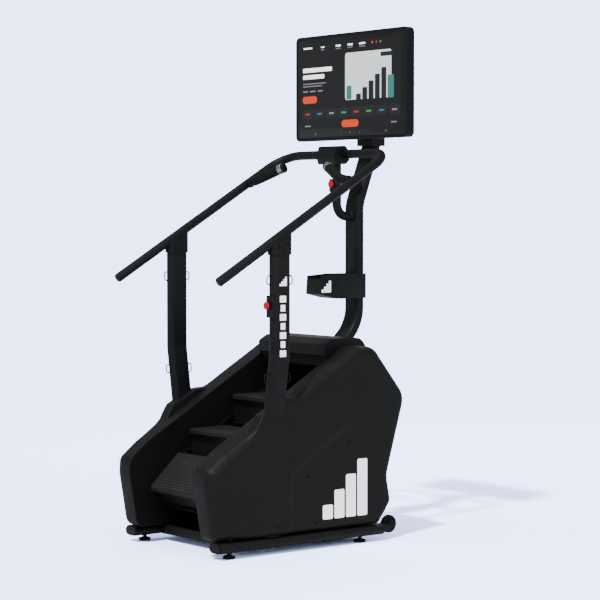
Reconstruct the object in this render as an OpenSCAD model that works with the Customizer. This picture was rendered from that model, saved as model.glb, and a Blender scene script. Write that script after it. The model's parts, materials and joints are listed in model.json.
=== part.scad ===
// Stair climber: six steps on a chain loop between two covered sides, with posts,
// a sloping handrail, a rear mast and a tilting screen.
// Millimetres. +X is the machine's right side, -Y is where the user climbs on, +Z is up.

/* [Steps] */
// Length of a tread across the machine
tread_width = 434; // [360:1:520]
// Depth of a tread from nose to back
tread_depth = 205; // [180:1:215]
// Horizontal distance from one nose to the next
step_going = 225; // [190:1:270]
// Height from one tread to the next
step_rise = 131; // [105:1:158]
// Thickness of the tread plate
tread_plate = 8; // [5:0.5:12]
// Height of the lip under a nose
nose_lip = 20; // [14:1:26]
// Thickness of a riser
riser_plate = 4; // [2:0.5:6]
// Chain pin behind the nose
pin_behind_nose = 119; // [95:1:130]
// Chain pin below the tread surface
pin_below_tread = 29; // [24:1:36]
// Share of a chain pitch that the second step stands above the lower sprocket
rest_phase = 0.763; // [0.3:0.001:0.9]

/* [Drive] */
// Diameter of both sprocket shafts
shaft_d = 30; // [24:1:36]
// Diameter of the large belt pulley
pulley_d = 210; // [170:1:240]
// Diameter of the motor pulley
motor_pulley_d = 60; // [48:1:72]
// Diameter of the drive motor
motor_d = 140; // [110:1:165]
// Length of the drive motor
motor_length = 190; // [150:1:230]
// Width of the drive belt
belt_width = 20; // [16:1:24]

/* [Base] */
// Width of a floor rail
rail_width = 80; // [66:1:88]
// Height of a floor rail
rail_height = 42; // [34:1:52]
// Height of the rail's underside above the floor
rail_clearance = 26; // [24:1:34]
// How far the floor rails reach in front of the lower shaft
rail_front_reach = 212; // [176:1:255]
// How far the floor rails reach behind the upper shaft
rail_rear_reach = 172; // [150:1:200]
// Diameter of a levelling foot
foot_d = 50; // [40:1:60]
// Diameter of the levelling foot's stud
foot_stud_d = 12; // [10:1:16]
// Diameter of a transport wheel
wheel_d = 75; // [60:1:84]
// Width of a transport wheel
wheel_width = 26; // [20:1:32]
// Diameter of a wheel's axle bolt
wheel_bolt_d = 10; // [8:1:12]

/* [Covers] */
// Gap between a tread's end and the side cover
tread_side_gap = 8; // [6:1:14]
// Width of a side cover from the stair to its outer face
cover_depth = 115; // [104:1:140]
// Wall of the moulded covers
cover_wall = 4; // [3:0.5:6]
// Radius of the rounded outer edge of a side cover
cover_edge_r = 35; // [25:1:42]
// Height of the covers above the line of the noses
cover_above_noses = 71; // [50:1:90]

/* [Posts and handrail] */
// Size of a post across the machine
post_width = 44; // [36:1:53]
// Size of a post along the machine
post_depth = 92; // [76:1:111]
// Wall of the posts and mast
tube_wall = 3; // [2:0.5:5]
// Height of the middle of the handrail above a post
rail_top_height = 1270; // [1050:1:1280]
// Distance from the middle of the machine to a handrail
handrail_x = 356; // [340:1:420]
// Diameter of the handrail tube
handrail_d = 38; // [32:1:44]
// Slope of the handrail
handrail_slope = 30.6; // [26:0.1:36]
// Length of a handrail side, from its front end to the crossbar
handrail_length = 1015; // [960:1:1180]
// Radius of the handrail's corners
handrail_corner_r = 105; // [88:1:130]
// Diameter of an inner grip
grip_d = 42; // [36:1:48]

/* [Mast and screen] */
// Width of the mast across the machine
mast_width = 92; // [76:1:111]
// Depth of the mast along the machine
mast_depth = 42; // [36:1:50]
// Height of the screen's lower edge
screen_bottom = 1680; // [1660:1:1900]
// Width of the screen housing
screen_width = 748; // [620:1:900]
// Height of the screen housing
screen_height = 458; // [380:1:550]
// Thickness of the screen housing
screen_depth = 38; // [32:1:46]
// Width of the frame beside the glass
bezel_side = 20; // [14:1:26]
// Diameter of a stop button
button_d = 31; // [26:1:37]

/* [Fits] */
// Radial clearance of a shaft that turns in a hole
running_gap = 0.05; // [0.02:0.01:0.1]
// Clearance between neighbouring pieces that move past each other
moving_gap = 1; // [0.5:0.1:2]
// Clearance around a tube that passes through a cover
pass_gap = 2; // [1:0.5:5]

/* [Hidden] */
$fn = 48;

powder_black = [0.10, 0.10, 0.11];
moulded_black = [0.13, 0.13, 0.14];
tread_grey = [0.17, 0.17, 0.18];
steel = [0.62, 0.63, 0.65];
stop_red = [0.80, 0.06, 0.16];
rubber_black = [0.06, 0.06, 0.06];

// The chain loop: two straight runs of two pitches and two half turns of one pitch each,
// so that the six steps divide it evenly and each keeps to its own stretch
pitch = norm([step_going, step_rise]);
incline = atan2(step_rise, step_going);
along = [cos(incline), sin(incline)];
outward = [-sin(incline), cos(incline)];
sprocket_r = pitch / PI;
run = 2 * pitch;
swing_r = norm([sprocket_r * outward[0] - pin_behind_nose, sprocket_r * outward[1] + pin_below_tread]);
floor_beam_h = rail_height - 6;
floor_beam_top = rail_clearance + rail_height / 2 + floor_beam_h / 2;
lower_axis = [-240, floor_beam_top + 10 + swing_r];
upper_axis = lower_axis + run * along;
function chain_point(s) = lower_axis + sprocket_r * outward + s * along;
second_nose = chain_point(rest_phase * pitch) + [-pin_behind_nose, pin_below_tread];
function nose_line(y) = second_nose[1] + (y - second_nose[0]) * tan(incline);

// Where things stand across the machine, from the steps outwards
tread_end = tread_width / 2;
skirt_x = tread_end + tread_side_gap;
cover_x = skirt_x + cover_depth;
skirt_wall = 4;
plate_wall = 6;
plate_x = skirt_x + skirt_wall + 11;
bearing_w = 16;
rail_x = cover_x - 3 - rail_width / 2;
rail_front = lower_axis[0] - rail_front_reach;
rail_rear = upper_axis[0] + rail_rear_reach;
pulley_x = plate_x + plate_wall + bearing_w + 6;

// The chain and its sprockets at both ends of the steps
chain_w = tread_side_gap - 2 * moving_gap;
chain_h = 12;
chain_x = tread_end + moving_gap;
cheek_wall = 3;
cheek_x = chain_x - 4 - cheek_wall;
riser_end = chain_x - 3;

// Outlines: each corner is [y, z, radius], and an arc of the same count of points rounds each
arc_steps = 6;
function unit(v) = v / norm(v);
function corner_arc(before, corner, after, r) =
    let (
        to_before = unit(before - corner),
        to_after = unit(after - corner),
        half = acos(max(-1, min(1, to_before * to_after))) / 2,
        middle = corner + unit(to_before + to_after) * r / sin(half),
        start = corner + to_before * r / tan(half) - middle,
        end = corner + to_after * r / tan(half) - middle,
        from = atan2(start[1], start[0]),
        turn = atan2(start[0] * end[1] - start[1] * end[0], start * end)
    )
    [for (i = [0 : arc_steps]) middle + r * [cos(from + turn * i / arc_steps), sin(from + turn * i / arc_steps)]];
function rounded_outline(corners) =
    let (n = len(corners), flat = [for (c = corners) [c[0], c[1]]])
    [for (i = [0 : n - 1]) each corner_arc(flat[(i + n - 1) % n], flat[i], flat[(i + 1) % n], corners[i][2])];
function inset(points, d) =
    let (n = len(points))
    [for (i = [0 : n - 1])
        let (
            a = unit(points[i] - points[(i + n - 1) % n]),
            b = unit(points[(i + 1) % n] - points[i]),
            na = [-a[1], a[0]],
            nb = [-b[1], b[0]]
        )
        points[i] + d * (na + nb) / (1 + na * nb)];

// Side cover: its outline from the bottom rear, up and over to the bottom front
cover_bottom = rail_clearance + rail_height + 3;
cover_front = lower_axis[0] - swing_r - 83;
cover_top = upper_axis[1] + swing_r + 97;
cover_rear = upper_axis[0] + swing_r + 107;
post_y = -183;
function cover_line(y) = nose_line(y) + cover_above_noses;
incline_top_y = second_nose[0] + (cover_top - cover_above_noses - second_nose[1]) / tan(incline);
chamfer_top_y = upper_axis[0] + 124;
cover_corners = [
    [cover_rear - 140, cover_bottom, 15],
    [cover_rear - 76, cover_bottom + 94, 40],
    [cover_rear - 98, cover_bottom + 200, 120],
    [cover_rear, cover_top - 212, 80],
    [chamfer_top_y, cover_top, 70],
    [incline_top_y, cover_top, 50],
    [cover_front + 84, cover_line(cover_front + 84), 80],
    [cover_front + 4, cover_bottom + 286, 50],
    [cover_front, cover_bottom + 222, 70],
    [cover_front + 38, cover_bottom, 36]];
cover_outline = rounded_outline(cover_corners);

// The raised seat that a post stands in, on the outer part of a cover
seat_front = post_y - post_depth / 2 - 24;
seat_rear = post_y + post_depth / 2;
seat_rise = 38;
seat_depth = 58;
seat_outline = rounded_outline([
    [seat_rear + 76, cover_line(seat_rear + 76) - 44, 10],
    [seat_rear + 62, cover_line(seat_rear + 62) + 1, 12],
    [seat_rear, cover_line(seat_rear) + seat_rise - 8, 24],
    [seat_front, cover_line(seat_front) + seat_rise, 12],
    [seat_front - 34, cover_line(seat_front - 34) - 2, 12],
    [seat_front - 34, cover_line(seat_front - 34) - 44, 8]]);

// The whole machine is drawn about its posts and then moved so that its box is centred
bracket_rear = 632;
outline_front = min([for (p = cover_outline) p[0]]);
middle_y = (outline_front + bracket_rear) / 2;
module placed() translate([0, -middle_y, 0]) children();

// Sections and tube runs
module flat_oval(w, h) {
    long = max(w, h) - min(w, h);
    square(w > h ? [long, h] : [w, long], center = true);
    for (side = [-1, 1])
        translate(side * long / 2 * (w > h ? [1, 0] : [0, 1])) circle(d = min(w, h));
}
module rounded_rect(w, h, r) {
    square([w - 2 * r, h], center = true);
    square([w, h - 2 * r], center = true);
    for (x = [-1, 1], y = [-1, 1]) translate([x * (w / 2 - r), y * (h / 2 - r)]) circle(r);
}
// Sweeps a section along straight stretches joined by true bends, in the XY plane
module tube_run(points, r) {
    n = len(points);
    heading = [for (i = [0 : n - 2]) atan2(points[i + 1][1] - points[i][1], points[i + 1][0] - points[i][0])];
    turn = [for (i = [0 : n - 1]) (i == 0 || i == n - 1) ? 0 :
        let (d = heading[i] - heading[i - 1]) d > 180 ? d - 360 : d < -180 ? d + 360 : d];
    cut = [for (t = turn) r * tan(abs(t) / 2)];
    for (i = [0 : n - 2])
        translate(points[i] + cut[i] * [cos(heading[i]), sin(heading[i])])
            rotate([0, 0, heading[i]]) rotate([90, 0, 90])
                linear_extrude(norm(points[i + 1] - points[i]) - cut[i] - cut[i + 1]) children();
    for (i = [1 : 1 : n - 2]) {
        side = turn[i] > 0 ? 1 : -1;
        left = [-sin(heading[i - 1]), cos(heading[i - 1])];
        start = points[i] - cut[i] * [cos(heading[i - 1]), sin(heading[i - 1])];
        first = heading[i - 1] - side * 90;
        translate(start + side * r * left)
            rotate([0, 0, side > 0 ? first : first + turn[i]])
                rotate_extrude(angle = abs(turn[i])) translate([r, 0]) children();
    }
}
// The same route as rings for a closed sweep: each ring is [place, heading]
bend_steps = 5;
function route_rings(points, r) =
    let (
        n = len(points),
        heading = [for (i = [0 : n - 2])
            atan2(points[i + 1][1] - points[i][1], points[i + 1][0] - points[i][0])]
    )
    concat([[points[0], heading[0]]],
        [for (i = [1 : 1 : n - 2])
            let (
                turn = heading[i] - heading[i - 1],
                side = turn > 0 ? 1 : -1,
                start = points[i] - r * tan(abs(turn) / 2) * [cos(heading[i - 1]), sin(heading[i - 1])],
                centre = start + side * r * [-sin(heading[i - 1]), cos(heading[i - 1])]
            )
            for (k = [0 : bend_steps])
                let (h = heading[i - 1] + turn * k / bend_steps)
                [centre + side * r * [sin(h), -cos(h)], h]],
        [[points[n - 1], heading[n - 2]]]);
function oval_points(w, h, r, steps = 6) =
    [for (q = [0 : 3], k = [0 : steps])
        let (a = 90 * (q + k / steps), x = (q == 0 || q == 3) ? 1 : -1, y = q < 2 ? 1 : -1)
        [x * (w / 2 - r) + r * cos(a), y * (h / 2 - r) + r * sin(a)]];
function ring_points(ring, section) =
    [for (p = section) [ring[0][0] - p[0] * sin(ring[1]), ring[0][1] + p[0] * cos(ring[1]), p[1]]];
module sweep_solid(points, r, section) {
    rings = route_rings(points, r);
    n = len(section);
    m = len(rings);
    polyhedron([for (ring = rings) each ring_points(ring, section)], concat(
        [for (j = [0 : m - 2], i = [0 : n - 1]) let (k = (i + 1) % n)
            [j * n + i, (j + 1) * n + i, (j + 1) * n + k, j * n + k]],
        [[for (i = [0 : n - 1]) i], [for (i = [n - 1 : -1 : 0]) (m - 1) * n + i]]));
}
module sweep_tube(points, r, outer, inner) {
    rings = route_rings(points, r);
    n = len(outer);
    m = 2 * len(rings);
    polyhedron(concat([for (ring = rings) each ring_points(ring, outer)],
        [for (i = [len(rings) - 1 : -1 : 0]) each ring_points(rings[i], inner)]),
        [for (j = [0 : m - 1], i = [0 : n - 1]) let (k = (i + 1) % n, next = (j + 1) % m)
            [j * n + i, next * n + i, next * n + k, j * n + k]]);
}
// A run drawn in the YZ plane: local x is the machine's Y and local y is Z
module in_side_plane() rotate([90, 0, 90]) children();
// A run drawn in the XZ plane: local x is the machine's X and local y is Z
module in_front_plane() rotate([90, 0, 0]) children();
module on_both_sides() {
    children();
    mirror([1, 0, 0]) children();
}
module across(x, y, z, d, length) translate([x, y, z]) rotate([0, 90, 0]) cylinder(d = d, h = length, center = true);

// ---- Base ----
foot_front_y = rail_front + 62;
foot_rear_y = rail_rear - 100;
wheel_y = rail_rear + 57;
wheel_z = rail_clearance + rail_height / 2 + 15;
fork_wall = 5;
fork_gap = wheel_width / 2 + moving_gap;
beam_size = 44;
beam_ys = [rail_front + 150, 40, upper_axis[0] + 120];
mast_beam = [upper_axis[0] + 127, upper_axis[1] + 195];
beam_end = plate_x - 0.2;
stud_gap = 0.3;

module floor_rail() difference() {
    translate([rail_x, rail_rear, rail_clearance + rail_height / 2]) rotate([90, 0, 0])
        linear_extrude(rail_rear - rail_front) difference() {
            flat_oval(rail_width, rail_height);
            flat_oval(rail_width - 2 * tube_wall, rail_height - 2 * tube_wall);
        }
    for (y = [foot_front_y, foot_rear_y])
        translate([rail_x, y, 0]) cylinder(d = foot_stud_d + 2 * stud_gap, h = rail_clearance + rail_height / 2);
}
module floor_beam(y) translate([-plate_x - plate_wall - 8, y - 30, floor_beam_top - floor_beam_h])
    cube([2 * (plate_x + plate_wall + 8), 60, floor_beam_h]);
module beam_to_rail(y) on_both_sides() translate([plate_x + plate_wall, y - 30, floor_beam_top - floor_beam_h + 6])
    cube([rail_x - rail_width / 2 + 8 - plate_x - plate_wall, 60, floor_beam_h - 12]);
module wheel_fork() for (side = [-1, 1])
    translate([rail_x + side * (fork_gap + fork_wall / 2), 0, 0]) rotate([90, 0, 90])
        linear_extrude(fork_wall, center = true) difference() {
            union() {
                translate([rail_rear - 30, rail_clearance + 6])
                    square([wheel_y - rail_rear + 30, rail_height - 8]);
                translate([wheel_y, wheel_z]) circle(18);
            }
            translate([wheel_y, wheel_z]) circle(d = wheel_bolt_d + 2 * running_gap);
        }
module base_frame() placed() color(powder_black) {
    on_both_sides() { floor_rail(); wheel_fork(); }
    for (y = beam_ys) { floor_beam(y); beam_to_rail(y); }
}
module rail_end_caps() placed() color(rubber_black) on_both_sides() difference() {
    for (end = [0, 1]) translate([rail_x, end ? rail_rear : rail_front, rail_clearance + rail_height / 2])
        rotate([end ? -90 : 90, 0, 0]) {
            linear_extrude(5) flat_oval(rail_width, rail_height);
            translate([0, 0, 5]) linear_extrude(4) flat_oval(rail_width - 8, rail_height - 8);
        }
    for (side = [-1, 1])
        translate([rail_x + side * (fork_gap + fork_wall / 2), rail_rear + 4, rail_clearance + rail_height / 2 + 2])
            cube([fork_wall + 0.4, 40, rail_height - 7.6], center = true);
}

module on_each_foot() for (side = [-1, 1], y = [foot_front_y, foot_rear_y])
    translate([side * rail_x, y, 0]) children();
foot_pad_h = 10;
nut_h = 6;
module levelling_feet() placed() color(rubber_black) on_each_foot() {
    cylinder(d = foot_d, h = foot_pad_h);
    translate([0, 0, foot_pad_h]) cylinder(d1 = foot_d - 12, d2 = foot_stud_d + 8, h = 7);
    cylinder(d = foot_stud_d, h = rail_clearance + rail_height / 2 - 4);
}
module foot_lock_nuts() placed() color(steel) on_each_foot()
    translate([0, 0, rail_clearance - nut_h]) difference() {
        cylinder(d = foot_stud_d * 1.75, h = nut_h, $fn = 6);
        translate([0, 0, -1]) cylinder(d = foot_stud_d + 2 * running_gap, h = nut_h + 2);
    }
module transport_wheel(side) placed() color(rubber_black)
    translate([side * rail_x, wheel_y, wheel_z]) rotate([0, 90, 0]) difference() {
        rotate_extrude() difference() {
            translate([0, -wheel_width / 2]) square([wheel_d / 2, wheel_width]);
            for (end = [-1, 1]) translate([wheel_d / 2, end * wheel_width / 2]) rotate(45) square(7, center = true);
            for (end = [-1, 1]) translate([wheel_d / 4, end * wheel_width / 2]) square([10, 8], center = true);
        }
        cylinder(d = wheel_bolt_d + 2 * running_gap, h = wheel_width + 2, center = true);
    }
module left_transport_wheel() transport_wheel(-1);
module right_transport_wheel() transport_wheel(1);
module wheel_bolts() placed() color(steel) on_both_sides() {
    across(rail_x, wheel_y, wheel_z, wheel_bolt_d, 2 * (fork_gap + fork_wall));
    for (side = [-1, 1])
        across(rail_x + side * (fork_gap + fork_wall + 3), wheel_y, wheel_z, wheel_bolt_d * 1.7, 6);
}

// ---- Side plates, covers and hood ----
plate_rear = mast_beam[0] + beam_size / 2 + 2;
plate_outline = [
    [lower_axis[0] - 60, floor_beam_top], [lower_axis[0] - 55, lower_axis[1] + 45],
    [lower_axis[0] + 60, lower_axis[1] + 75], [upper_axis[0] - 60, upper_axis[1] + 70],
    [mast_beam[0] - beam_size / 2, mast_beam[1] + beam_size / 2], [plate_rear, mast_beam[1] + beam_size / 2],
    [plate_rear, upper_axis[1] - 20], [upper_axis[0] + 80, lower_axis[1] + 40],
    [upper_axis[0] + 120, floor_beam_top], [upper_axis[0] + 80, floor_beam_top],
    [upper_axis[0] - 20, lower_axis[1] + 20], [lower_axis[0] + 120, lower_axis[1] - 70],
    [lower_axis[0] + 80, floor_beam_top]];
module side_plates() placed() color(powder_black) {
    on_both_sides() difference() {
        translate([plate_x, 0, 0]) rotate([90, 0, 90]) linear_extrude(plate_wall) polygon(plate_outline);
        for (axis = [lower_axis, upper_axis]) across(plate_x, axis[0], axis[1], shaft_d + 10, 40);
        across(plate_x, motor_at[0], motor_at[1], motor_shaft_d + 12, 40);
    }
    translate([0, mast_beam[0], mast_beam[1]])
        cube([2 * plate_x + plate_wall, beam_size, beam_size], center = true);
}

// A closed tray: loops of the outline step round its outer edge and back along the inside
edge_steps = 5;
function tray_loops(x_in, x_out, r, wall) = concat(
    [[x_in, 0]],
    [for (i = [0 : edge_steps]) let (a = 90 * i / edge_steps) [x_out - r + r * sin(a), r * (1 - cos(a))]],
    [for (i = [edge_steps : -1 : 0]) let (a = 90 * i / edge_steps)
        [x_out - r + (r - wall) * sin(a), r - (r - wall) * cos(a)]],
    [[x_in, wall]]);
module tray(outline, loops) {
    n = len(outline);
    m = len(loops);
    points = [for (l = loops) each [for (p = inset(outline, l[1])) [l[0], p[0], p[1]]]];
    cap = edge_steps + 1;
    polyhedron(points, concat(
        [for (j = [0 : m - 1], i = [0 : n - 1]) if (j != cap)
            let (a = j * n, b = ((j + 1) % m) * n, k = (i + 1) % n) [a + i, b + i, b + k, a + k]],
        [[for (i = [n - 1 : -1 : 0]) cap * n + i]],
        [[for (i = [0 : n - 1]) (cap + 1) * n + i]]));
}
module side_cover() color(moulded_black) difference() {
    union() {
        tray(cover_outline, tray_loops(skirt_x, cover_x, cover_edge_r, cover_wall));
        translate([cover_x - seat_depth, 0, 0]) rotate([90, 0, 90]) linear_extrude(seat_depth) polygon(seat_outline);
    }
    post_shape(pass_gap);
    for (foot = [[lower_axis[0] - 60, 140], [upper_axis[0] + 80, 40]])
        translate([plate_x - 1, foot[0] - 4, cover_bottom - 1]) cube([plate_wall + 2, foot[1] + 8, cover_wall + 2]);
}
module left_side_cover() placed() mirror([1, 0, 0]) side_cover();
module right_side_cover() placed() side_cover();
module inner_skirts() placed() color(moulded_black) on_both_sides()
    translate([skirt_x, 0, 0]) rotate([90, 0, 90]) linear_extrude(skirt_wall) difference() {
        polygon(inset(cover_outline, cover_wall + 0.3));
        for (axis = [lower_axis, upper_axis]) translate(axis) circle(d = shaft_d + 6);
        translate(motor_at) circle(d = motor_shaft_d + 12);
        translate(mast_beam) square(beam_size + 2, center = true);
    }

hood_front = upper_axis[0] - 57;
hood_top = cover_top + 31;
hood_gap = 0.5;
hood_path = rounded_outline([
    [cover_rear - 2, hood_top - 206, 5], [chamfer_top_y + 14, hood_top, 50], [hood_front + 44, hood_top, 30],
    [hood_front, hood_top - 24, 14], [hood_front, hood_top - 70, 7], [hood_front + 160, hood_top - 150, 30]]);
hood_arcs = arc_steps + 1;
module top_hood() placed() color(moulded_black) difference() {
    outer = [for (i = [0 : 5 * hood_arcs - 1]) hood_path[i]];
    inner = inset(hood_path, cover_wall);
    union() {
        translate([hood_gap - skirt_x, 0, 0]) rotate([90, 0, 90]) linear_extrude(2 * (skirt_x - hood_gap))
            polygon(concat(outer, [for (i = [5 * hood_arcs - 1 : -1 : 0]) inner[i]]));
        on_both_sides() translate([skirt_x - hood_gap - cover_wall, 0, 0]) rotate([90, 0, 90])
            linear_extrude(cover_wall) difference() {
                polygon(outer);
                translate(mast_beam) square(beam_size + 2, center = true);
            }
    }
    mast_shape(pass_gap);
}
module hood_front_panel() placed() color(moulded_black)
    translate([0, hood_front + 14, hood_top - 70]) rotate([8, 0, 0]) translate([0, 0, -21])
        cube([2 * (skirt_x - cover_wall - 2), 3, 46], center = true);
rear_path = [
    [cover_rear - 40, cover_top - 180], [cover_rear - 89, cover_top - 394],
    [cover_rear - 131, cover_bottom + 192], [cover_rear - 115, cover_bottom + 96], [cover_rear - 163, cover_bottom + 14]];
module rear_panel() placed() color(moulded_black)
    translate([0.5 - skirt_x, 0, 0]) rotate([90, 0, 90]) linear_extrude(2 * skirt_x - 1)
        polygon(concat(rear_path, [for (i = [4 : -1 : 0]) rear_path[i] - [3, 0]]));
cover_screw_at = [
    [lower_axis[0] - 170, cover_bottom + 12], [lower_axis[0] + 71, cover_bottom + 40],
    [lower_axis[0] + 263, cover_bottom + 36], [upper_axis[0] + 130, cover_bottom + 23],
    [upper_axis[0] - 16, upper_axis[1] - 101], [lower_axis[0] + 224, lower_axis[1] + 35]];
saddle_screw_at = [[post_y - 22, rail_top_height - 42], [post_y, rail_top_height - 52], [post_y + 22, rail_top_height - 28]];
module small_screws() placed() color(rubber_black) on_both_sides() {
    for (at = cover_screw_at) across(cover_x + 1, at[0], at[1], 10, 2);
    for (at = saddle_screw_at) across(post_x + post_width / 2 + saddle_wall + 1.5, at[0], at[1], 9, 2);
}

// ---- Posts ----
post_x = handrail_x;
post_low_x = rail_x - 3;
post_kink_z = 800;
post_lower_z = 412;
post_bend_r = 160;
post_top_z = rail_top_height - post_depth / 2 * tan(handrail_slope) - handrail_d / 2 / cos(handrail_slope) - 1;
post_path = [[post_low_x, rail_clearance + rail_height], [post_low_x, post_lower_z], [post_x, post_kink_z],
    [post_x, post_top_z]];
function post_section(grow) = oval_points(post_width + 2 * grow, post_depth + 2 * grow,
    min(post_width, post_depth) / 2 + grow - 0.1);
module post_shape(gap) translate([0, post_y, 0]) in_front_plane()
    sweep_solid(post_path, post_bend_r, post_section(gap));
module post() color(powder_black) translate([0, post_y, 0]) in_front_plane()
    sweep_tube(post_path, post_bend_r, post_section(0), post_section(-tube_wall));
module left_post() placed() mirror([1, 0, 0]) post();
module right_post() placed() difference() {
    post();
    translate([post_x, post_y, post_button_z]) rotate([90, 0, 0]) cylinder(d = button_stem_d + 2, h = post_depth);
}

// ---- Handrail and saddles ----
saddle_wall = 4;
saddle_height = 72;
rail_reach_front = 339;
rail_wall = 2.5;
rail_dir = [cos(handrail_slope), sin(handrail_slope)];
rail_start = [post_y, rail_top_height] - rail_reach_front * rail_dir;
crossbar_at = rail_start + handrail_length * rail_dir;
module along_rail() translate([0, rail_start[0], rail_start[1]]) rotate([handrail_slope, 0, 0]) children();
module rail_shape(d) along_rail() tube_run([[handrail_x, 0], [handrail_x, handrail_length],
    [-handrail_x, handrail_length], [-handrail_x, 0]], handrail_corner_r) circle(d = d);
module handrail() placed() color(powder_black) difference() {
    rail_shape(handrail_d);
    rail_shape(handrail_d - 2 * rail_wall);
}
module handrail_end_plugs() placed() color(rubber_black) along_rail() on_both_sides()
    translate([handrail_x, 0, 0]) rotate([90, 0, 0]) rotate_extrude() {
        translate([0, -18]) square([handrail_d / 2 - rail_wall - running_gap, 18]);
        square([handrail_d / 2, 6]);
        translate([0, 6]) square([handrail_d / 2 - 4, 4]);
        translate([handrail_d / 2 - 4, 6]) intersection() { circle(4); square(4); }
    }
module post_saddles() placed() color(powder_black) on_both_sides() difference() {
    translate([post_x, post_y, 0]) intersection() {
        translate([0, 0, rail_top_height - saddle_height])
            linear_extrude(saddle_height + 60) flat_oval(post_width + 2 * saddle_wall, post_depth + 2 * saddle_wall + 6);
        translate([0, 0, rail_top_height]) rotate([handrail_slope, 0, 0]) translate([-60, -150, -290])
            cube([120, 300, 300]);
    }
    translate([post_x, post_y, rail_top_height - saddle_height - 1])
        linear_extrude(post_top_z - rail_top_height + saddle_height + 1.5) flat_oval(post_width + 0.4, post_depth + 0.4);
    along_rail() translate([handrail_x, rail_reach_front, 0]) rotate([90, 0, 0])
        cylinder(d = handrail_d + 2 * running_gap, h = 200, center = true);
}

// Inner grips: each leaves its rail inwards and rises to a tip beside the pod
grip_root = [handrail_x, crossbar_at[0] - 207, crossbar_at[1] - 207 * tan(handrail_slope)];
grip_knee = grip_root + [-76, -6, 14];
grip_tip = grip_root + [-206, 38, 66];
function point_between(a, b, t) = a + t * (b - a);
module rod(a, b, d) translate(a) rotate([0, acos((b - a)[2] / norm(b - a)), atan2((b - a)[1], (b - a)[0])])
    cylinder(d = d, h = norm(b - a));
contact_from = point_between(grip_knee, grip_tip, 0.7);
contact_to = point_between(grip_knee, grip_tip, 0.9);
module grip() color(rubber_black) difference() {
    union() {
        rod(point_between(grip_root, grip_knee, 0.14), grip_knee, grip_d);
        translate(grip_knee) sphere(d = grip_d + 1);
        rod(grip_knee, grip_tip, grip_d);
    }
    along_rail() translate([handrail_x, handrail_length / 2, 0]) rotate([90, 0, 0])
        cylinder(d = handrail_d + 2 * running_gap, h = handrail_length, center = true);
}
module left_grip() placed() mirror([1, 0, 0]) grip();
module right_grip() placed() grip();
module grip_contacts() placed() color(steel) on_both_sides() difference() {
    rod(contact_from, contact_to, grip_d + 3);
    rod(point_between(contact_from, contact_to, -0.1), point_between(contact_from, contact_to, 1.1),
        grip_d + 2 * running_gap);
}
module grip_end_caps() placed() color(rubber_black) on_both_sides()
    rod(grip_tip, point_between(grip_knee, grip_tip, 1.07), grip_d + 3);

// Pod on the crossbar, and the brace that runs down from it to the mast
pod_width = 120;
brace_d = 38;
brace_y = crossbar_at[0] + 3;
mast_bend_z = screen_bottom - 281;
brace_elbow_z = min(mast_bend_z - 49, crossbar_at[1] - 264);
pod_outline = [[-62, -14], [-48, 34], [0, 36], [20, 16], [24, -24], [4, -42], [-50, -42]];
module crossbar_pod() placed() color(moulded_black) difference() {
    translate([-pod_width / 2, crossbar_at[0], crossbar_at[1]]) rotate([90, 0, 90])
        linear_extrude(pod_width) polygon([for (i = [len(pod_outline) - 1 : -1 : 0]) pod_outline[i]]);
    across(0, crossbar_at[0], crossbar_at[1], handrail_d + 2 * running_gap, pod_width + 2);
    translate([0, brace_y, crossbar_at[1] - 60]) cylinder(d = brace_d + 2 * running_gap, h = 60);
}
mast_y = 500;
brace_path = [[brace_y, crossbar_at[1] - handrail_d / 2 - 1], [brace_y, brace_elbow_z],
    [mast_y - mast_depth / 2 - 0.2, brace_elbow_z]];
module mast_brace() placed() color(powder_black) difference() {
    in_side_plane() sweep_tube(brace_path, 55, oval_points(brace_d, brace_d, brace_d / 2 - 0.1),
        oval_points(brace_d - 2 * rail_wall, brace_d - 2 * rail_wall, brace_d / 2 - rail_wall - 0.1));
    translate([0, brace_y, brace_button_z]) rotate([90, 0, 0]) cylinder(d = button_stem_d + 2, h = brace_d);
}

// ---- Mast and caddy ----
mast_top = [mast_y + 88, screen_bottom - 40];
mast_path = [mast_beam + [6, beam_size / 2 - 12], [mast_y, mast_beam[1] + 168], [mast_y, mast_bend_z], mast_top];
function mast_section(grow) = oval_points(mast_depth + 2 * grow, mast_width + 2 * grow, 16 + grow);
module mast_shape(gap) in_side_plane() sweep_solid(mast_path, 170, mast_section(gap));
module mast() placed() color(powder_black) difference() {
    in_side_plane() sweep_tube(mast_path, 170, mast_section(0), mast_section(-tube_wall));
    translate([0, mast_beam[0], mast_beam[1] - 50]) cube([200, 300, 100 + beam_size], center = true);
}
caddy_z = 1000;
caddy_height = 106;
caddy_wall = 3;
caddy_front = 272;
caddy_seam = 379;
caddy_half = mast_width / 2 + caddy_wall;
module caddy_clamp() placed() color(moulded_black) difference() {
    translate([-caddy_half, caddy_seam + 0.2, caddy_z])
        cube([2 * caddy_half, mast_y + mast_depth / 2 + caddy_wall - caddy_seam, caddy_height]);
    translate([0, mast_y, caddy_z - 1]) linear_extrude(caddy_height + 2)
        rounded_rect(mast_width + 0.4, mast_depth + 0.4, 16);
    translate([-caddy_half + caddy_wall, caddy_seam + caddy_wall + 3, caddy_z + caddy_wall])
        cube([2 * (caddy_half - caddy_wall), mast_y - mast_depth / 2 - caddy_seam - 3 * caddy_wall, caddy_height]);
}
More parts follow.
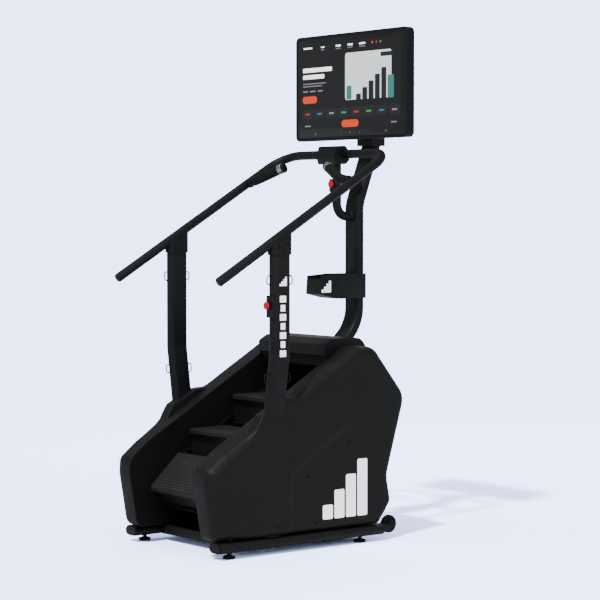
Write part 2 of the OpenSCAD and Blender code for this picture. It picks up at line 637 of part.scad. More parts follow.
module caddy_bin() placed() color(moulded_black) rotate([90, 0, 90]) difference() {
    translate([0, 0, -caddy_half]) linear_extrude(2 * caddy_half) polygon([
        [caddy_front, caddy_z + 21], [caddy_seam - 30, caddy_z + 3], [caddy_seam, caddy_z],
        [caddy_seam, caddy_z + caddy_height], [caddy_front + 6, caddy_z + caddy_height - 8]]);
    translate([0, 0, -caddy_half + caddy_wall]) linear_extrude(2 * (caddy_half - caddy_wall)) polygon([
        [caddy_front + caddy_wall, caddy_z + 26], [caddy_seam - 30, caddy_z + 7],
        [caddy_seam - caddy_wall, caddy_z + 6], [caddy_seam - caddy_wall, caddy_z + 200],
        [caddy_front + 9, caddy_z + 200]]);
}

// ---- Stop buttons and band loops ----
button_stem_d = 16;
button_travel = 5;
brace_button_z = brace_elbow_z + 138;
post_button_z = rail_top_height - 272;
module stop_head() rotate([90, 0, 0]) {
    translate([0, 0, -24]) cylinder(d = button_stem_d, h = 26);
    rotate_extrude() {
        square([button_d / 2, 6]);
        translate([0, 6]) square([button_d / 2 - 5, 5]);
        translate([button_d / 2 - 5, 6]) intersection() { circle(5); square(5); }
    }
}
module stop_collar(depth) difference() {
    rotate([-90, 0, 0]) cylinder(d = button_d - 3, h = depth);
    rotate([-90, 0, 0]) translate([0, 0, -1]) cylinder(d = button_stem_d + 2 * running_gap, h = depth + 2);
}
brace_button_y = brace_y - brace_d / 2 - 11;
post_button_y = post_y - post_depth / 2 - 17;
module stop_button_bases() placed() color(moulded_black) {
    translate([0, brace_button_y + button_travel + 1, brace_button_z]) stop_collar(4.8);
    difference() {
        translate([-22, brace_y - brace_d / 2 - 5 + 0.1, brace_button_z - 34]) cube([44, 26, 56]);
        translate([0, brace_y, brace_button_z - 40]) cylinder(d = brace_d + 2 * running_gap, h = 80);
        translate([0, brace_button_y, brace_button_z]) rotate([-90, 0, 0])
            cylinder(d = button_stem_d + 2, h = 60);
    }
    translate([post_x, post_button_y + button_travel + 1, post_button_z]) stop_collar(6);
    difference() {
        translate([post_x - 20, post_button_y + button_travel + 7, post_button_z - 48]) cube([40, 20, 87]);
        post_shape(0.1);
        translate([post_x, post_button_y, post_button_z]) rotate([-90, 0, 0])
            cylinder(d = button_stem_d + 2, h = 60);
    }
}
module brace_stop_button() placed() color(stop_red) translate([0, brace_button_y, brace_button_z]) stop_head();
module post_stop_button() placed() color(stop_red) translate([post_x, post_button_y, post_button_z]) stop_head();
loop_wire = 5;
loop_z = [708, rail_top_height - 172];
function post_x_at(z) = z > post_kink_z ? post_x
    : post_low_x + (post_x - post_low_x) * (z - post_lower_z) / (post_kink_z - post_lower_z);
module band_loops() placed() color(steel) on_both_sides() for (z = loop_z, end = [-1, 1])
    translate([post_x_at(z), post_y + end * (post_depth / 2 + 0.3), z]) in_side_plane()
        tube_run([[0, 17.5], [end * 17.5, 17.5], [end * 17.5, -17.5], [0, -17.5]], 12) circle(d = loop_wire, $fn = 16);

// ---- Drive ----
motor_shaft_d = 20;
motor_at = [upper_axis[0] + 45, floor_beam_top + motor_d / 2 + 24];
belt_thick = 4;
belt_gap = 0.6;
module drive_motor() placed() color(steel) {
    difference() {
        across(0, motor_at[0], motor_at[1], motor_d, motor_length);
        across(motor_length / 2, motor_at[0], motor_at[1], motor_shaft_d + 2 * running_gap, 80);
    }
    difference() {
        translate([-60, motor_at[0] - 60, floor_beam_top]) cube([120, 120, motor_at[1] - floor_beam_top]);
        across(0, motor_at[0], motor_at[1], motor_d - 1, motor_length);
        translate([-40, motor_at[0] - 61, floor_beam_top + 12]) cube([80, 122, 60]);
    }
}
module motor_pulley() placed() color(steel) {
    across((motor_length / 2 - 30 + pulley_x + belt_width) / 2, motor_at[0], motor_at[1], motor_shaft_d,
        pulley_x + belt_width - motor_length / 2 + 30);
    across(pulley_x + belt_width / 2, motor_at[0], motor_at[1], motor_pulley_d, belt_width);
}
module belt_area(grow) {
    span = motor_at - upper_axis;
    big = pulley_d / 2 + grow;
    small = motor_pulley_d / 2 + grow;
    lean = acos((big - small) / norm(span));
    heading = atan2(span[1], span[0]);
    translate(upper_axis) circle(big);
    translate(motor_at) circle(small);
    polygon([upper_axis + big * [cos(heading - lean), sin(heading - lean)],
        motor_at + small * [cos(heading - lean), sin(heading - lean)],
        motor_at + small * [cos(heading + lean), sin(heading + lean)],
        upper_axis + big * [cos(heading + lean), sin(heading + lean)]]);
}
module drive_belt() placed() color(rubber_black) translate([pulley_x, 0, 0]) rotate([90, 0, 90])
    linear_extrude(belt_width) difference() {
        belt_area(belt_gap + belt_thick);
        belt_area(belt_gap);
    }
module large_pulley() placed() color(steel) translate([pulley_x, upper_axis[0], upper_axis[1]]) rotate([0, 90, 0])
    difference() {
        union() {
            difference() {
                cylinder(d = pulley_d, h = belt_width);
                translate([0, 0, 8]) cylinder(d = pulley_d - 24, h = belt_width);
            }
            cylinder(d = shaft_d + 26, h = belt_width);
        }
        translate([0, 0, -1]) cylinder(d = shaft_d, h = belt_width + 2);
        for (i = [0 : 4]) rotate([0, 0, 72 * i]) translate([pulley_d / 4 + 8, 0, -1]) cylinder(d = 40, h = 30);
    }
bearing_end = plate_x + plate_wall + bearing_w;
module sprocket_shaft(axis, right_end) {
    across((right_end - bearing_end) / 2, axis[0], axis[1], shaft_d, right_end + bearing_end);
    on_both_sides() difference() {
        across(chain_x + chain_w / 2, axis[0], axis[1], 2 * (sprocket_r - chain_h / 2 - moving_gap), chain_w - 1);
        for (i = [0 : 5]) translate([chain_x - 5, axis[0], axis[1]]) rotate([60 * i, 0, 0])
            translate([0, 0, sprocket_r / 2]) rotate([0, 90, 0]) cylinder(d = 24, h = 20);
    }
}
module upper_shaft() placed() color(steel) sprocket_shaft(upper_axis, pulley_x + belt_width + 4);
module lower_shaft() placed() color(steel) sprocket_shaft(lower_axis, bearing_end);
module shaft_bearings() placed() color(steel) on_both_sides() for (axis = [lower_axis, upper_axis]) difference() {
    union() {
        across(plate_x + plate_wall + 3, axis[0], axis[1], shaft_d + 46, 6);
        across(plate_x + plate_wall + bearing_w / 2, axis[0], axis[1], shaft_d + 22, bearing_w);
    }
    across(plate_x + plate_wall + bearing_w / 2, axis[0], axis[1], shaft_d + 2 * running_gap, bearing_w + 2);
}
function half_turn(axis, r, from) = [for (i = [0 : 24]) axis + r * [cos(from + 7.5 * i), sin(from + 7.5 * i)]];
module chain_area(r)
    polygon(concat(half_turn(upper_axis, r, incline - 90), half_turn(lower_axis, r, incline + 90)));
module step_chains() placed() color(steel) on_both_sides() translate([chain_x, 0, 0]) rotate([90, 0, 90])
    linear_extrude(chain_w) difference() {
        chain_area(sprocket_r + chain_h / 2);
        chain_area(sprocket_r - chain_h / 2);
    }
module controller_box() placed() color(moulded_black)
    translate([-90, beam_ys[1] - 28, floor_beam_top]) cube([180, 90, 70]);
module power_inlet() placed() color(rubber_black) difference() {
    translate([80, beam_ys[2] + 30, floor_beam_top - floor_beam_h + 2]) cube([50, 16, 30]);
    translate([86, beam_ys[2] + 36, floor_beam_top - floor_beam_h + 7]) cube([38, 16, 20]);
}

// ---- Screen ----
screen_front = 474;
bezel_depth = 12;
glass_wall = 5;
shell_wall = 3;
tilt_at = [screen_front + 104, screen_bottom + 185];
arm_half = 34;
ear_wall = 5;
pin_d = 12;
module screen_block(depth, shrink, r) translate([0, 0, screen_bottom + screen_height / 2]) rotate([-90, 0, 0])
    linear_extrude(depth) rounded_rect(screen_width - 2 * shrink, screen_height - 2 * shrink, r);
module screen_bezel() placed() color(moulded_black) translate([0, screen_front, 0]) difference() {
    screen_block(bezel_depth, 0, 25);
    translate([0, -1, 0]) screen_block(bezel_depth + 2, bezel_side - 6, 14);
}
module screen_glass() placed() color(rubber_black) translate([0, screen_front + 1.5, 0])
    screen_block(glass_wall, bezel_side - 6 + 0.3, 13.7);
module screen_rear_shell() placed() color(moulded_black) translate([0, screen_front + bezel_depth, 0]) difference() {
    union() {
        screen_block(screen_depth - bezel_depth, 0.5, 24);
        translate([0, screen_depth - bezel_depth, 0]) screen_block(15, 90, 24);
    }
    translate([0, -1, 0]) screen_block(screen_depth - bezel_depth + 1 - shell_wall, shell_wall, 22);
}
screen_back = screen_front + screen_depth + 15;
module screen_tilt_plate() placed() color(powder_black) difference() {
    union() {
        translate([-90, screen_back, tilt_at[1] - 60]) cube([180, ear_wall, 150]);
        on_both_sides() translate([arm_half + moving_gap, 0, 0]) rotate([90, 0, 90]) linear_extrude(ear_wall) {
            translate([screen_back, tilt_at[1] - 25]) square([tilt_at[0] - screen_back, 50]);
            translate(tilt_at) circle(25);
        }
    }
    across(0, tilt_at[0], tilt_at[1], pin_d + 2 * running_gap, 200);
}
module screen_bracket() placed() color(powder_black) {
    translate([-arm_half, 0, 0]) rotate([90, 0, 90]) linear_extrude(2 * arm_half) {
        polygon([[mast_top[0] - 28, mast_top[1] + 20], [mast_top[0] + 34, mast_top[1] + 20],
            [bracket_rear - 6, screen_bottom + 40], [tilt_at[0] + 24, tilt_at[1]],
            [tilt_at[0] - 24, tilt_at[1]], [mast_top[0] - 26, screen_bottom + 40]]);
        translate(tilt_at) circle(24);
    }
    translate([-mast_width / 2 - 2, mast_top[0] - 34, mast_top[1] + 14]) cube([mast_width + 4, bracket_rear - mast_top[0] + 34, 40]);
    across(0, tilt_at[0], tilt_at[1], pin_d, 2 * (arm_half + moving_gap + ear_wall + 1));
    on_both_sides() across(arm_half + moving_gap + ear_wall + 5, tilt_at[0], tilt_at[1], pin_d * 1.8, 7);
}

// ---- Steps ----
// A step is drawn about its chain pin as it stands on the upper run, with its tread level
nose = [-pin_behind_nose, pin_below_tread];
riser_back = 22;
module on_chain(s) placed()
    if (s < 0)
        translate([0, lower_axis[0], lower_axis[1]]) rotate([-s / sprocket_r * 180 / PI, 0, 0])
            translate([0, sprocket_r * outward[0], sprocket_r * outward[1]]) children();
    else if (s < run)
        translate([0, chain_point(s)[0], chain_point(s)[1]]) children();
    else if (s < run + pitch)
        translate([0, upper_axis[0], upper_axis[1]]) rotate([-(s - run) / sprocket_r * 180 / PI, 0, 0])
            translate([0, sprocket_r * outward[0], sprocket_r * outward[1]]) children();
    else
        translate([0, upper_axis[0], upper_axis[1]]) rotate([-180, 0, 0])
            translate([0, sprocket_r * outward[0] + (s - run - pitch) * along[0],
                sprocket_r * outward[1] + (s - run - pitch) * along[1]]) children();
module tread() color(tread_grey) {
    rotate([90, 0, 90]) linear_extrude(tread_width, center = true) polygon([
        nose - [0, nose_lip], nose - [-6, nose_lip], nose - [-6, tread_plate],
        nose + [tread_depth, -tread_plate], nose + [tread_depth, 0], nose]);
    on_both_sides() {
        translate([cheek_x, 0, 0]) rotate([90, 0, 90]) linear_extrude(cheek_wall) polygon([
            [-14, -12], [14, -12], [60, nose[1] - tread_plate], [-60, nose[1] - tread_plate]]);
        across((cheek_x + chain_x - moving_gap) / 2, 0, 0, 14, chain_x - moving_gap - cheek_x);
    }
    across(0, 0, 0, 16, 2 * cheek_x);
}
module riser() color(tread_grey) rotate([90, 0, 90]) linear_extrude(2 * riser_end, center = true) polygon([
    nose + [riser_back, -tread_plate], nose + [riser_back, 8 + riser_plate - step_rise],
    nose + [8, 8 + riser_plate - step_rise], nose + [8, 8 - step_rise],
    nose + [riser_back + riser_plate, 8 - step_rise], nose + [riser_back + riser_plate, -tread_plate]]);
function step_s(number) = (rest_phase - 2 + number) * pitch;
module step_tread(number) on_chain(step_s(number)) tread();
module step_riser(number) on_chain(step_s(number)) riser();

base_frame();
rail_end_caps();
levelling_feet();
foot_lock_nuts();
left_transport_wheel();
right_transport_wheel();
wheel_bolts();
side_plates();
left_side_cover();
right_side_cover();
inner_skirts();
top_hood();
hood_front_panel();
rear_panel();
small_screws();
left_post();
right_post();
post_saddles();
handrail();
handrail_end_plugs();
left_grip();
right_grip();
grip_contacts();
grip_end_caps();
crossbar_pod();
mast();
mast_brace();
caddy_clamp();
caddy_bin();
stop_button_bases();
brace_stop_button();
post_stop_button();
band_loops();
drive_motor();
motor_pulley();
drive_belt();
large_pulley();
upper_shaft();
lower_shaft();
shaft_bearings();
step_chains();
controller_box();
power_inlet();
screen_bracket();
screen_tilt_plate();
screen_rear_shell();
screen_bezel();
screen_glass();
step_tread(1);  // step_1_tread
step_riser(1);  // step_1_riser
step_tread(2);  // step_2_tread
step_riser(2);  // step_2_riser
step_tread(3);  // step_3_tread
step_riser(3);  // step_3_riser
step_tread(4);  // step_4_tread
step_riser(4);  // step_4_riser
step_tread(5);  // step_5_tread
step_riser(5);  // step_5_riser
step_tread(6);  // step_6_tread
step_riser(6);  // step_6_riser
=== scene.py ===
# Stair climber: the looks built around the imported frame, in metres
import json
import math
import bmesh
import bpy
import numpy as np
from mathutils import Matrix, Vector
from mathutils.geometry import delaunay_2d_cdt

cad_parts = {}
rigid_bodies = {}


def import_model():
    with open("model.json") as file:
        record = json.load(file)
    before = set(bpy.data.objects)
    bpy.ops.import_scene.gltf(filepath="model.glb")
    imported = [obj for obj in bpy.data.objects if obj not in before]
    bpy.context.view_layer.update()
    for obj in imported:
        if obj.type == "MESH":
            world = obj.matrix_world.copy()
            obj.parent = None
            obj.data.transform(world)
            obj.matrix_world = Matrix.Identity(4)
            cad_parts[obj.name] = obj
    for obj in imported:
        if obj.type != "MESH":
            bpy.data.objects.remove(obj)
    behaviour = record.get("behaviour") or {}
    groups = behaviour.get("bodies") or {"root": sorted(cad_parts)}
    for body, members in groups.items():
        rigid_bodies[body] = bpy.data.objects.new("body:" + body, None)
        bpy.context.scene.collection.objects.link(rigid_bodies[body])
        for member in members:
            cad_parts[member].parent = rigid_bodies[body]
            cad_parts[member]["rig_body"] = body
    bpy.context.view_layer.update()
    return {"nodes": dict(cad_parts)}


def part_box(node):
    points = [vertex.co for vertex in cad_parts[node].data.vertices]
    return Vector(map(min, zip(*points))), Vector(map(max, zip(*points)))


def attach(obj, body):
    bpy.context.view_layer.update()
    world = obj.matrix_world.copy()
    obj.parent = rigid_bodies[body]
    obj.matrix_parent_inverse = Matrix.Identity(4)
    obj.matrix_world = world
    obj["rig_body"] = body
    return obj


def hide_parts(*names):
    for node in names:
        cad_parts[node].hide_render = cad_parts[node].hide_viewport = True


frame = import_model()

nodes = frame["nodes"]
scene = bpy.context.scene

# The sketch values below are drawn with the posts at sketchPostY; rowShift moves them into the row frame
sketchPostY = -0.183
postSize = {"width": 0.044, "depth": 0.092}
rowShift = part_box("right_post")[0].y - (sketchPostY - postSize["depth"] / 2)
intoRow = Matrix.Translation((0, rowShift, 0))

# Camera, floor and light
view = {"place": (6.717, -5.109, 1.349), "look": (-0.7838, 0.6197, -0.0410), "lens": 121.83}
stageLook = {"floorColour": (0.79, 0.815, 0.87), "floorReach": 60, "seenTint": (4.4, 5.1, 7.9), "worldLight": 0.40,
             "sunStrength": 1.75, "sunFrom": (0.237, -0.55, 0.80), "sunSoftness": 3.5,
             "sunColour": (1.0, 0.985, 0.965),
             "fills": {"sideFill": ((4.5, -0.6, 3.0), 3.0, 26), "rearRim": ((-2.5, 3.5, 3.2), 2.5, 18)},
             "aim": (0, 0, 0.9)}


def makeCamera():
    camera = bpy.data.cameras.new("viewCamera")
    camera.lens = view["lens"]
    camera.sensor_width = 36
    holder = bpy.data.objects.new("viewCamera", camera)
    holder.location = Vector(view["place"]) + Vector((0, rowShift, 0))
    holder.rotation_euler = Vector(view["look"]).to_track_quat("-Z", "Y").to_euler()
    scene.collection.objects.link(holder)
    scene.camera = holder


def addLight(name, kind, energy, facing, place=(0, 0, 0)):
    lamp = bpy.data.lights.new(name, kind)
    lamp.energy = energy
    holder = bpy.data.objects.new(name, lamp)
    holder.location = place
    holder.rotation_euler = Vector(facing).to_track_quat("Z", "Y").to_euler()
    scene.collection.objects.link(holder)
    return lamp


def splitByCamera(tree, others, seen, surface):
    # One shader for what the camera sees straight on and another for every other ray
    mix = tree.nodes.new("ShaderNodeMixShader")
    tree.links.new(tree.nodes.new("ShaderNodeLightPath").outputs["Is Camera Ray"], mix.inputs["Fac"])
    tree.links.new(others.outputs[0], mix.inputs[1])
    tree.links.new(seen.outputs[0], mix.inputs[2])
    tree.links.new(mix.outputs[0], surface)


def makeStage():
    look = stageLook
    sun = addLight("softKey", "SUN", look["sunStrength"], look["sunFrom"])
    sun.angle = math.radians(look["sunSoftness"])
    sun.color = look["sunColour"]
    for name, (place, size, energy) in look["fills"].items():
        addLight(name, "AREA", energy, Vector(place) - Vector(look["aim"]), place).size = size
    # the backdrop is as bright as the lit floor, so the two meet without a line
    sunDown = Vector(look["sunFrom"]).normalized().z * look["sunStrength"] / math.pi
    floorGlow = [t * (c * look["worldLight"] + sunDown * s) for t, c,
                 s in zip(look["seenTint"], look["floorColour"], look["sunColour"])]
    world = bpy.data.worlds.new("studio")
    scene.world = world
    world.use_nodes = True
    tree = world.node_tree
    lit, seen = tree.nodes["Background"], tree.nodes.new("ShaderNodeBackground")
    lit.inputs["Color"].default_value = (*look["floorColour"], 1)
    lit.inputs["Strength"].default_value = look["worldLight"]
    seen.inputs["Color"].default_value = (*floorGlow, 1)
    splitByCamera(tree, lit, seen, tree.nodes["World Output"].inputs["Surface"])
    reach = look["floorReach"]
    mesh = bpy.data.meshes.new("studioFloor")
    mesh.from_pydata([(-reach, -reach, 0), (reach, -reach, 0), (reach, reach, 0), (-reach, reach, 0)], [],
                     [(0, 1, 2, 3)])
    floor = bpy.data.objects.new("studioFloor", mesh)
    scene.collection.objects.link(floor)
    paint = bpy.data.materials.new("studioFloor")
    paint.use_nodes = True
    tree = paint.node_tree
    tree.nodes.remove(tree.nodes["Principled BSDF"])
    plain, bright = tree.nodes.new("ShaderNodeBsdfDiffuse"), tree.nodes.new("ShaderNodeBsdfDiffuse")
    plain.inputs["Color"].default_value = (*look["floorColour"], 1)
    bright.inputs["Color"].default_value = (*look["seenTint"], 1)
    splitByCamera(tree, plain, bright, tree.nodes["Material Output"].inputs["Surface"])
    mesh.materials.append(paint)


makeCamera()
makeStage()
print("camera and stage ready")

# Node groups shared by the materials


def newGroup(name, inputs, outputs):
    group = bpy.data.node_groups.new(name, "ShaderNodeTree")
    for label, kind, value in inputs:
        made = group.interface.new_socket(label, in_out="INPUT", socket_type=kind)
        if value is not None:
            made.default_value = value
    for label, kind in outputs:
        group.interface.new_socket(label, in_out="OUTPUT", socket_type=kind)
    return group, group.nodes.new("NodeGroupInput"), group.nodes.new("NodeGroupOutput")


def mathNode(tree, operation, first, second=None, third=None):
    node = tree.nodes.new("ShaderNodeMath")
    node.operation = operation
    for place, value in enumerate((first, second, third)):
        if value is None:
            continue
        if isinstance(value, (int, float)):
            node.inputs[place].default_value = value
        else:
            tree.links.new(value, node.inputs[place])
    return node.outputs[0]


def rangeNode(tree, value, low, high, toLow=0.0, toHigh=1.0):
    node = tree.nodes.new("ShaderNodeMapRange")
    node.interpolation_type = "SMOOTHSTEP"
    for label, number in (("From Min", low), ("From Max", high), ("To Min", toLow), ("To Max", toHigh)):
        node.inputs[label].default_value = number
    tree.links.new(value, node.inputs["Value"])
    return node.outputs["Result"]


def noiseNode(tree, vector, scale, detail=3.0, roughness=0.55):
    node = tree.nodes.new("ShaderNodeTexNoise")
    node.inputs["Detail"].default_value = detail
    node.inputs["Roughness"].default_value = roughness
    tree.links.new(vector, node.inputs["Vector"])
    if isinstance(scale, (int, float)):
        node.inputs["Scale"].default_value = scale
    else:
        tree.links.new(scale, node.inputs["Scale"])
    return node.outputs["Fac"]


def makeGrainGroup():
    group, start, end = newGroup("fineGrain", [("Vector", "NodeSocketVector", None),
                                               ("Scale", "NodeSocketFloat", 900.0),
                                               ("Pebble", "NodeSocketFloat", 0.5)], [("Height", "NodeSocketFloat")])
    soft = noiseNode(group, start.outputs["Vector"], start.outputs["Scale"], 2.0)
    cells = group.nodes.new("ShaderNodeTexVoronoi")
    group.links.new(start.outputs["Vector"], cells.inputs["Vector"])
    group.links.new(start.outputs["Scale"], cells.inputs["Scale"])
    pebble = mathNode(group, "MULTIPLY", cells.outputs["Distance"], start.outputs["Pebble"])
    group.links.new(mathNode(group, "ADD", soft, pebble), end.inputs["Height"])
    return group


def makeVariationGroup():
    group, start, end = newGroup("surfaceVariation",
                                 [("Vector", "NodeSocketVector", None), ("Scale", "NodeSocketFloat", 6.0),
                                                      ("Low", "NodeSocketFloat", 0.4),
                                                      ("High", "NodeSocketFloat", 0.6)],
                                 [("Value", "NodeSocketFloat"), ("Cloud", "NodeSocketFloat")])
    cloud = rangeNode(group, noiseNode(group, start.outputs["Vector"], start.outputs["Scale"], 5.0, 0.6), 0.3, 0.7)
    span = mathNode(group, "SUBTRACT", start.outputs["High"], start.outputs["Low"])
    group.links.new(mathNode(group, "MULTIPLY_ADD", cloud, span, start.outputs["Low"]), end.inputs["Value"])
    group.links.new(cloud, end.inputs["Cloud"])
    return group


def makeWearGroup():
    group, start, end = newGroup("edgeWear", [("Vector", "NodeSocketVector", None),
                                              ("Amount", "NodeSocketFloat", 0.5)],
                                 [("Mask", "NodeSocketFloat")])
    place = group.nodes.new("ShaderNodeNewGeometry")
    edge = rangeNode(group, place.outputs["Pointiness"], 0.515, 0.60)
    broken = rangeNode(group, noiseNode(group, start.outputs["Vector"], 60.0, 4.0), 0.35, 0.65, 0.35, 1.0)
    worn = mathNode(group, "MULTIPLY", edge, broken)
    group.links.new(mathNode(group, "MULTIPLY", worn, start.outputs["Amount"]), end.inputs["Mask"])
    return group


def makeDustGroup():
    group, start, end = newGroup("settledDust", [("Vector", "NodeSocketVector", None),
                                                 ("Amount", "NodeSocketFloat", 0.2)],
                                 [("Mask", "NodeSocketFloat")])
    place = group.nodes.new("ShaderNodeNewGeometry")
    parts = group.nodes.new("ShaderNodeSeparateXYZ")
    group.links.new(place.outputs["Normal"], parts.inputs[0])
    facingUp = rangeNode(group, parts.outputs["Z"], 0.45, 0.98)
    patches = rangeNode(group, noiseNode(group, start.outputs["Vector"], 22.0, 6.0, 0.65), 0.35, 0.75, 0.3, 1.0)
    both = mathNode(group, "MULTIPLY", facingUp, patches)
    group.links.new(mathNode(group, "MULTIPLY", both, start.outputs["Amount"]), end.inputs["Mask"])
    return group


groups = {"grain": makeGrainGroup(), "variation": makeVariationGroup(), "wear": makeWearGroup(),
          "dust": makeDustGroup()}


def placeGroup(tree, name, vector, **values):
    node = tree.nodes.new("ShaderNodeGroup")
    node.node_tree = groups[name]
    tree.links.new(vector, node.inputs["Vector"])
    for label, value in values.items():
        node.inputs[label].default_value = value
    return node


def mixColour(tree, mask, first, second):
    node = tree.nodes.new("ShaderNodeMix")
    node.data_type = "RGBA"
    tree.links.new(mask, node.inputs["Factor"])
    for socket, value in ((node.inputs[6], first), (node.inputs[7], second)):
        if isinstance(value, tuple):
            socket.default_value = (*value, 1)
        else:
            tree.links.new(value, socket)
    return node.outputs[2]


# the last column, glow, is a painted glow: the finish's own colour sent out as emission on parts that are no lamps
finishColumns = ("colour", "shade", "rough", "grain", "bump", "wear", "wearColour", "dust", "pebble", "metal", "glow")
finishes = {
    "powderBlack": ((0.0075, 0.0078, 0.0087), (0.0102, 0.0105, 0.0114), (0.4, 0.52), 1100, 0.22, 0.35,
                    (0.042, 0.042, 0.045), 0.05, 0.25),
    "mouldedCover": ((0.0081, 0.0084, 0.0093), (0.0114, 0.0117, 0.0126), (0.42, 0.54), 1500, 0.3, 0.3,
                     (0.036, 0.036, 0.039), 0.06, 0.6),
    "innerSkirt": ((0.0042, 0.00432, 0.0048), (0.006, 0.00612, 0.0066), (0.6, 0.72), 1500, 0.3, 0.1,
                   (0.018, 0.018, 0.018), 0.03, 0.6),
    "blackPlastic": ((0.0066, 0.0069, 0.0078), (0.0096, 0.0099, 0.0108), (0.36, 0.48), 1700, 0.18, 0.25,
                     (0.036, 0.036, 0.039), 0.04, 0.4),
    "gripRubber": ((0.0048, 0.0048, 0.0054), (0.0072, 0.0072, 0.0078), (0.55, 0.68), 800, 0.45, 0.2,
                   (0.018, 0.018, 0.018), 0.03, 1),
    "footRubber": ((0.006, 0.006, 0.006), (0.0096, 0.009, 0.0084), (0.62, 0.78), 700, 0.4, 0.3,
                   (0.024, 0.024, 0.0228), 0.15, 0.8),
    "blackHardware": ((0.0072, 0.0072, 0.0072), (0.012, 0.012, 0.012), (0.28, 0.42), 1500, 0.1, 0.5,
                      (0.108, 0.108, 0.108), 0.0, 0.2, 0.6),
    "driveSteel": ((0.36, 0.37, 0.38), (0.46, 0.47, 0.48), (0.26, 0.42), 700, 0.1, 0.4, (0.62, 0.62, 0.62), 0.05, 0.2,
                   1),
    "brightContact": ((0.5, 0.51, 0.53), (0.6, 0.61, 0.63), (0.16, 0.3), 900, 0.06, 0.2, (0.7, 0.7, 0.7), 0.0, 0.2,
                      1),
    # stop-button red with a painted glow: its own red is also emitted at strength 0.35, though the button is no lamp
    "stopRed": ((0.6, 0.0005, 0.012), (0.68, 0.001, 0.016), (0.3, 0.4), 900, 0.08, 0.2, (0.72, 0.06, 0.08), 0.03, 0.2,
                0.0, 0.35),
    # white print with a painted glow: its colour is also emitted at strength 2.1, though print is no lamp
    "whitePrintPaintedGlow": ((0.74, 0.76, 0.8), (0.8, 0.81, 0.84), (0.42, 0.52), 1500, 0.12, 0.0, (0.5, 0.5, 0.5), 0.0, 0.5,
                   0.0, 2.1),
}
plasticShine, stepShine, fineBump = 0.3, 0.35, 0.0004
dustColour = (0.12, 0.115, 0.11)


def startMaterial(name):
    # A new material with its tree, its main shader and the piece's own coordinates
    material = bpy.data.materials.new(name)
    material.use_nodes = True
    tree = material.node_tree
    return material, tree, tree.nodes["Principled BSDF"], tree.nodes.new("ShaderNodeTexCoord").outputs["Object"]


def bumpNode(tree, height, strength, distance, under=None):
    node = tree.nodes.new("ShaderNodeBump")
    node.inputs["Strength"].default_value = strength
    node.inputs["Distance"].default_value = distance
    tree.links.new(height, node.inputs["Height"])
    if under:
        tree.links.new(under, node.inputs["Normal"])
    return node.outputs["Normal"]


def makeFinish(name, row):
    look = {column: 0.0 for column in finishColumns}
    look.update(zip(finishColumns, row))
    material, tree, shader, place = startMaterial(name)
    variation = placeGroup(tree, "variation", place, Scale=7.0, Low=look["rough"][0], High=look["rough"][1])
    wear = placeGroup(tree, "wear", place, Amount=look["wear"])
    dust = placeGroup(tree, "dust", place, Amount=look["dust"])
    grain = placeGroup(tree, "grain", place, Scale=float(look["grain"]), Pebble=look["pebble"])
    colour = mixColour(tree, variation.outputs["Cloud"], look["colour"], look["shade"])
    colour = mixColour(tree, wear.outputs["Mask"], colour, look["wearColour"])
    colour = mixColour(tree, dust.outputs["Mask"], colour, dustColour)
    tree.links.new(colour, shader.inputs["Base Color"])
    rough = mathNode(tree, "MULTIPLY_ADD", dust.outputs["Mask"], 0.8, variation.outputs["Value"])
    tree.links.new(rough, shader.inputs["Roughness"])
    tree.links.new(bumpNode(tree, grain.outputs["Height"], look["bump"], fineBump), shader.inputs["Normal"])
    shader.inputs["Metallic"].default_value = look["metal"]
    shader.inputs["Specular IOR Level"].default_value = plasticShine
    # painted glow: the finish colour is also given as emission, so the part shines without being a lamp
    if look["glow"]:
        tree.links.new(colour, shader.inputs["Emission Color"])
        shader.inputs["Emission Strength"].default_value = look["glow"]
    return material


materials = {name: makeFinish(name, row) for name, row in finishes.items()}


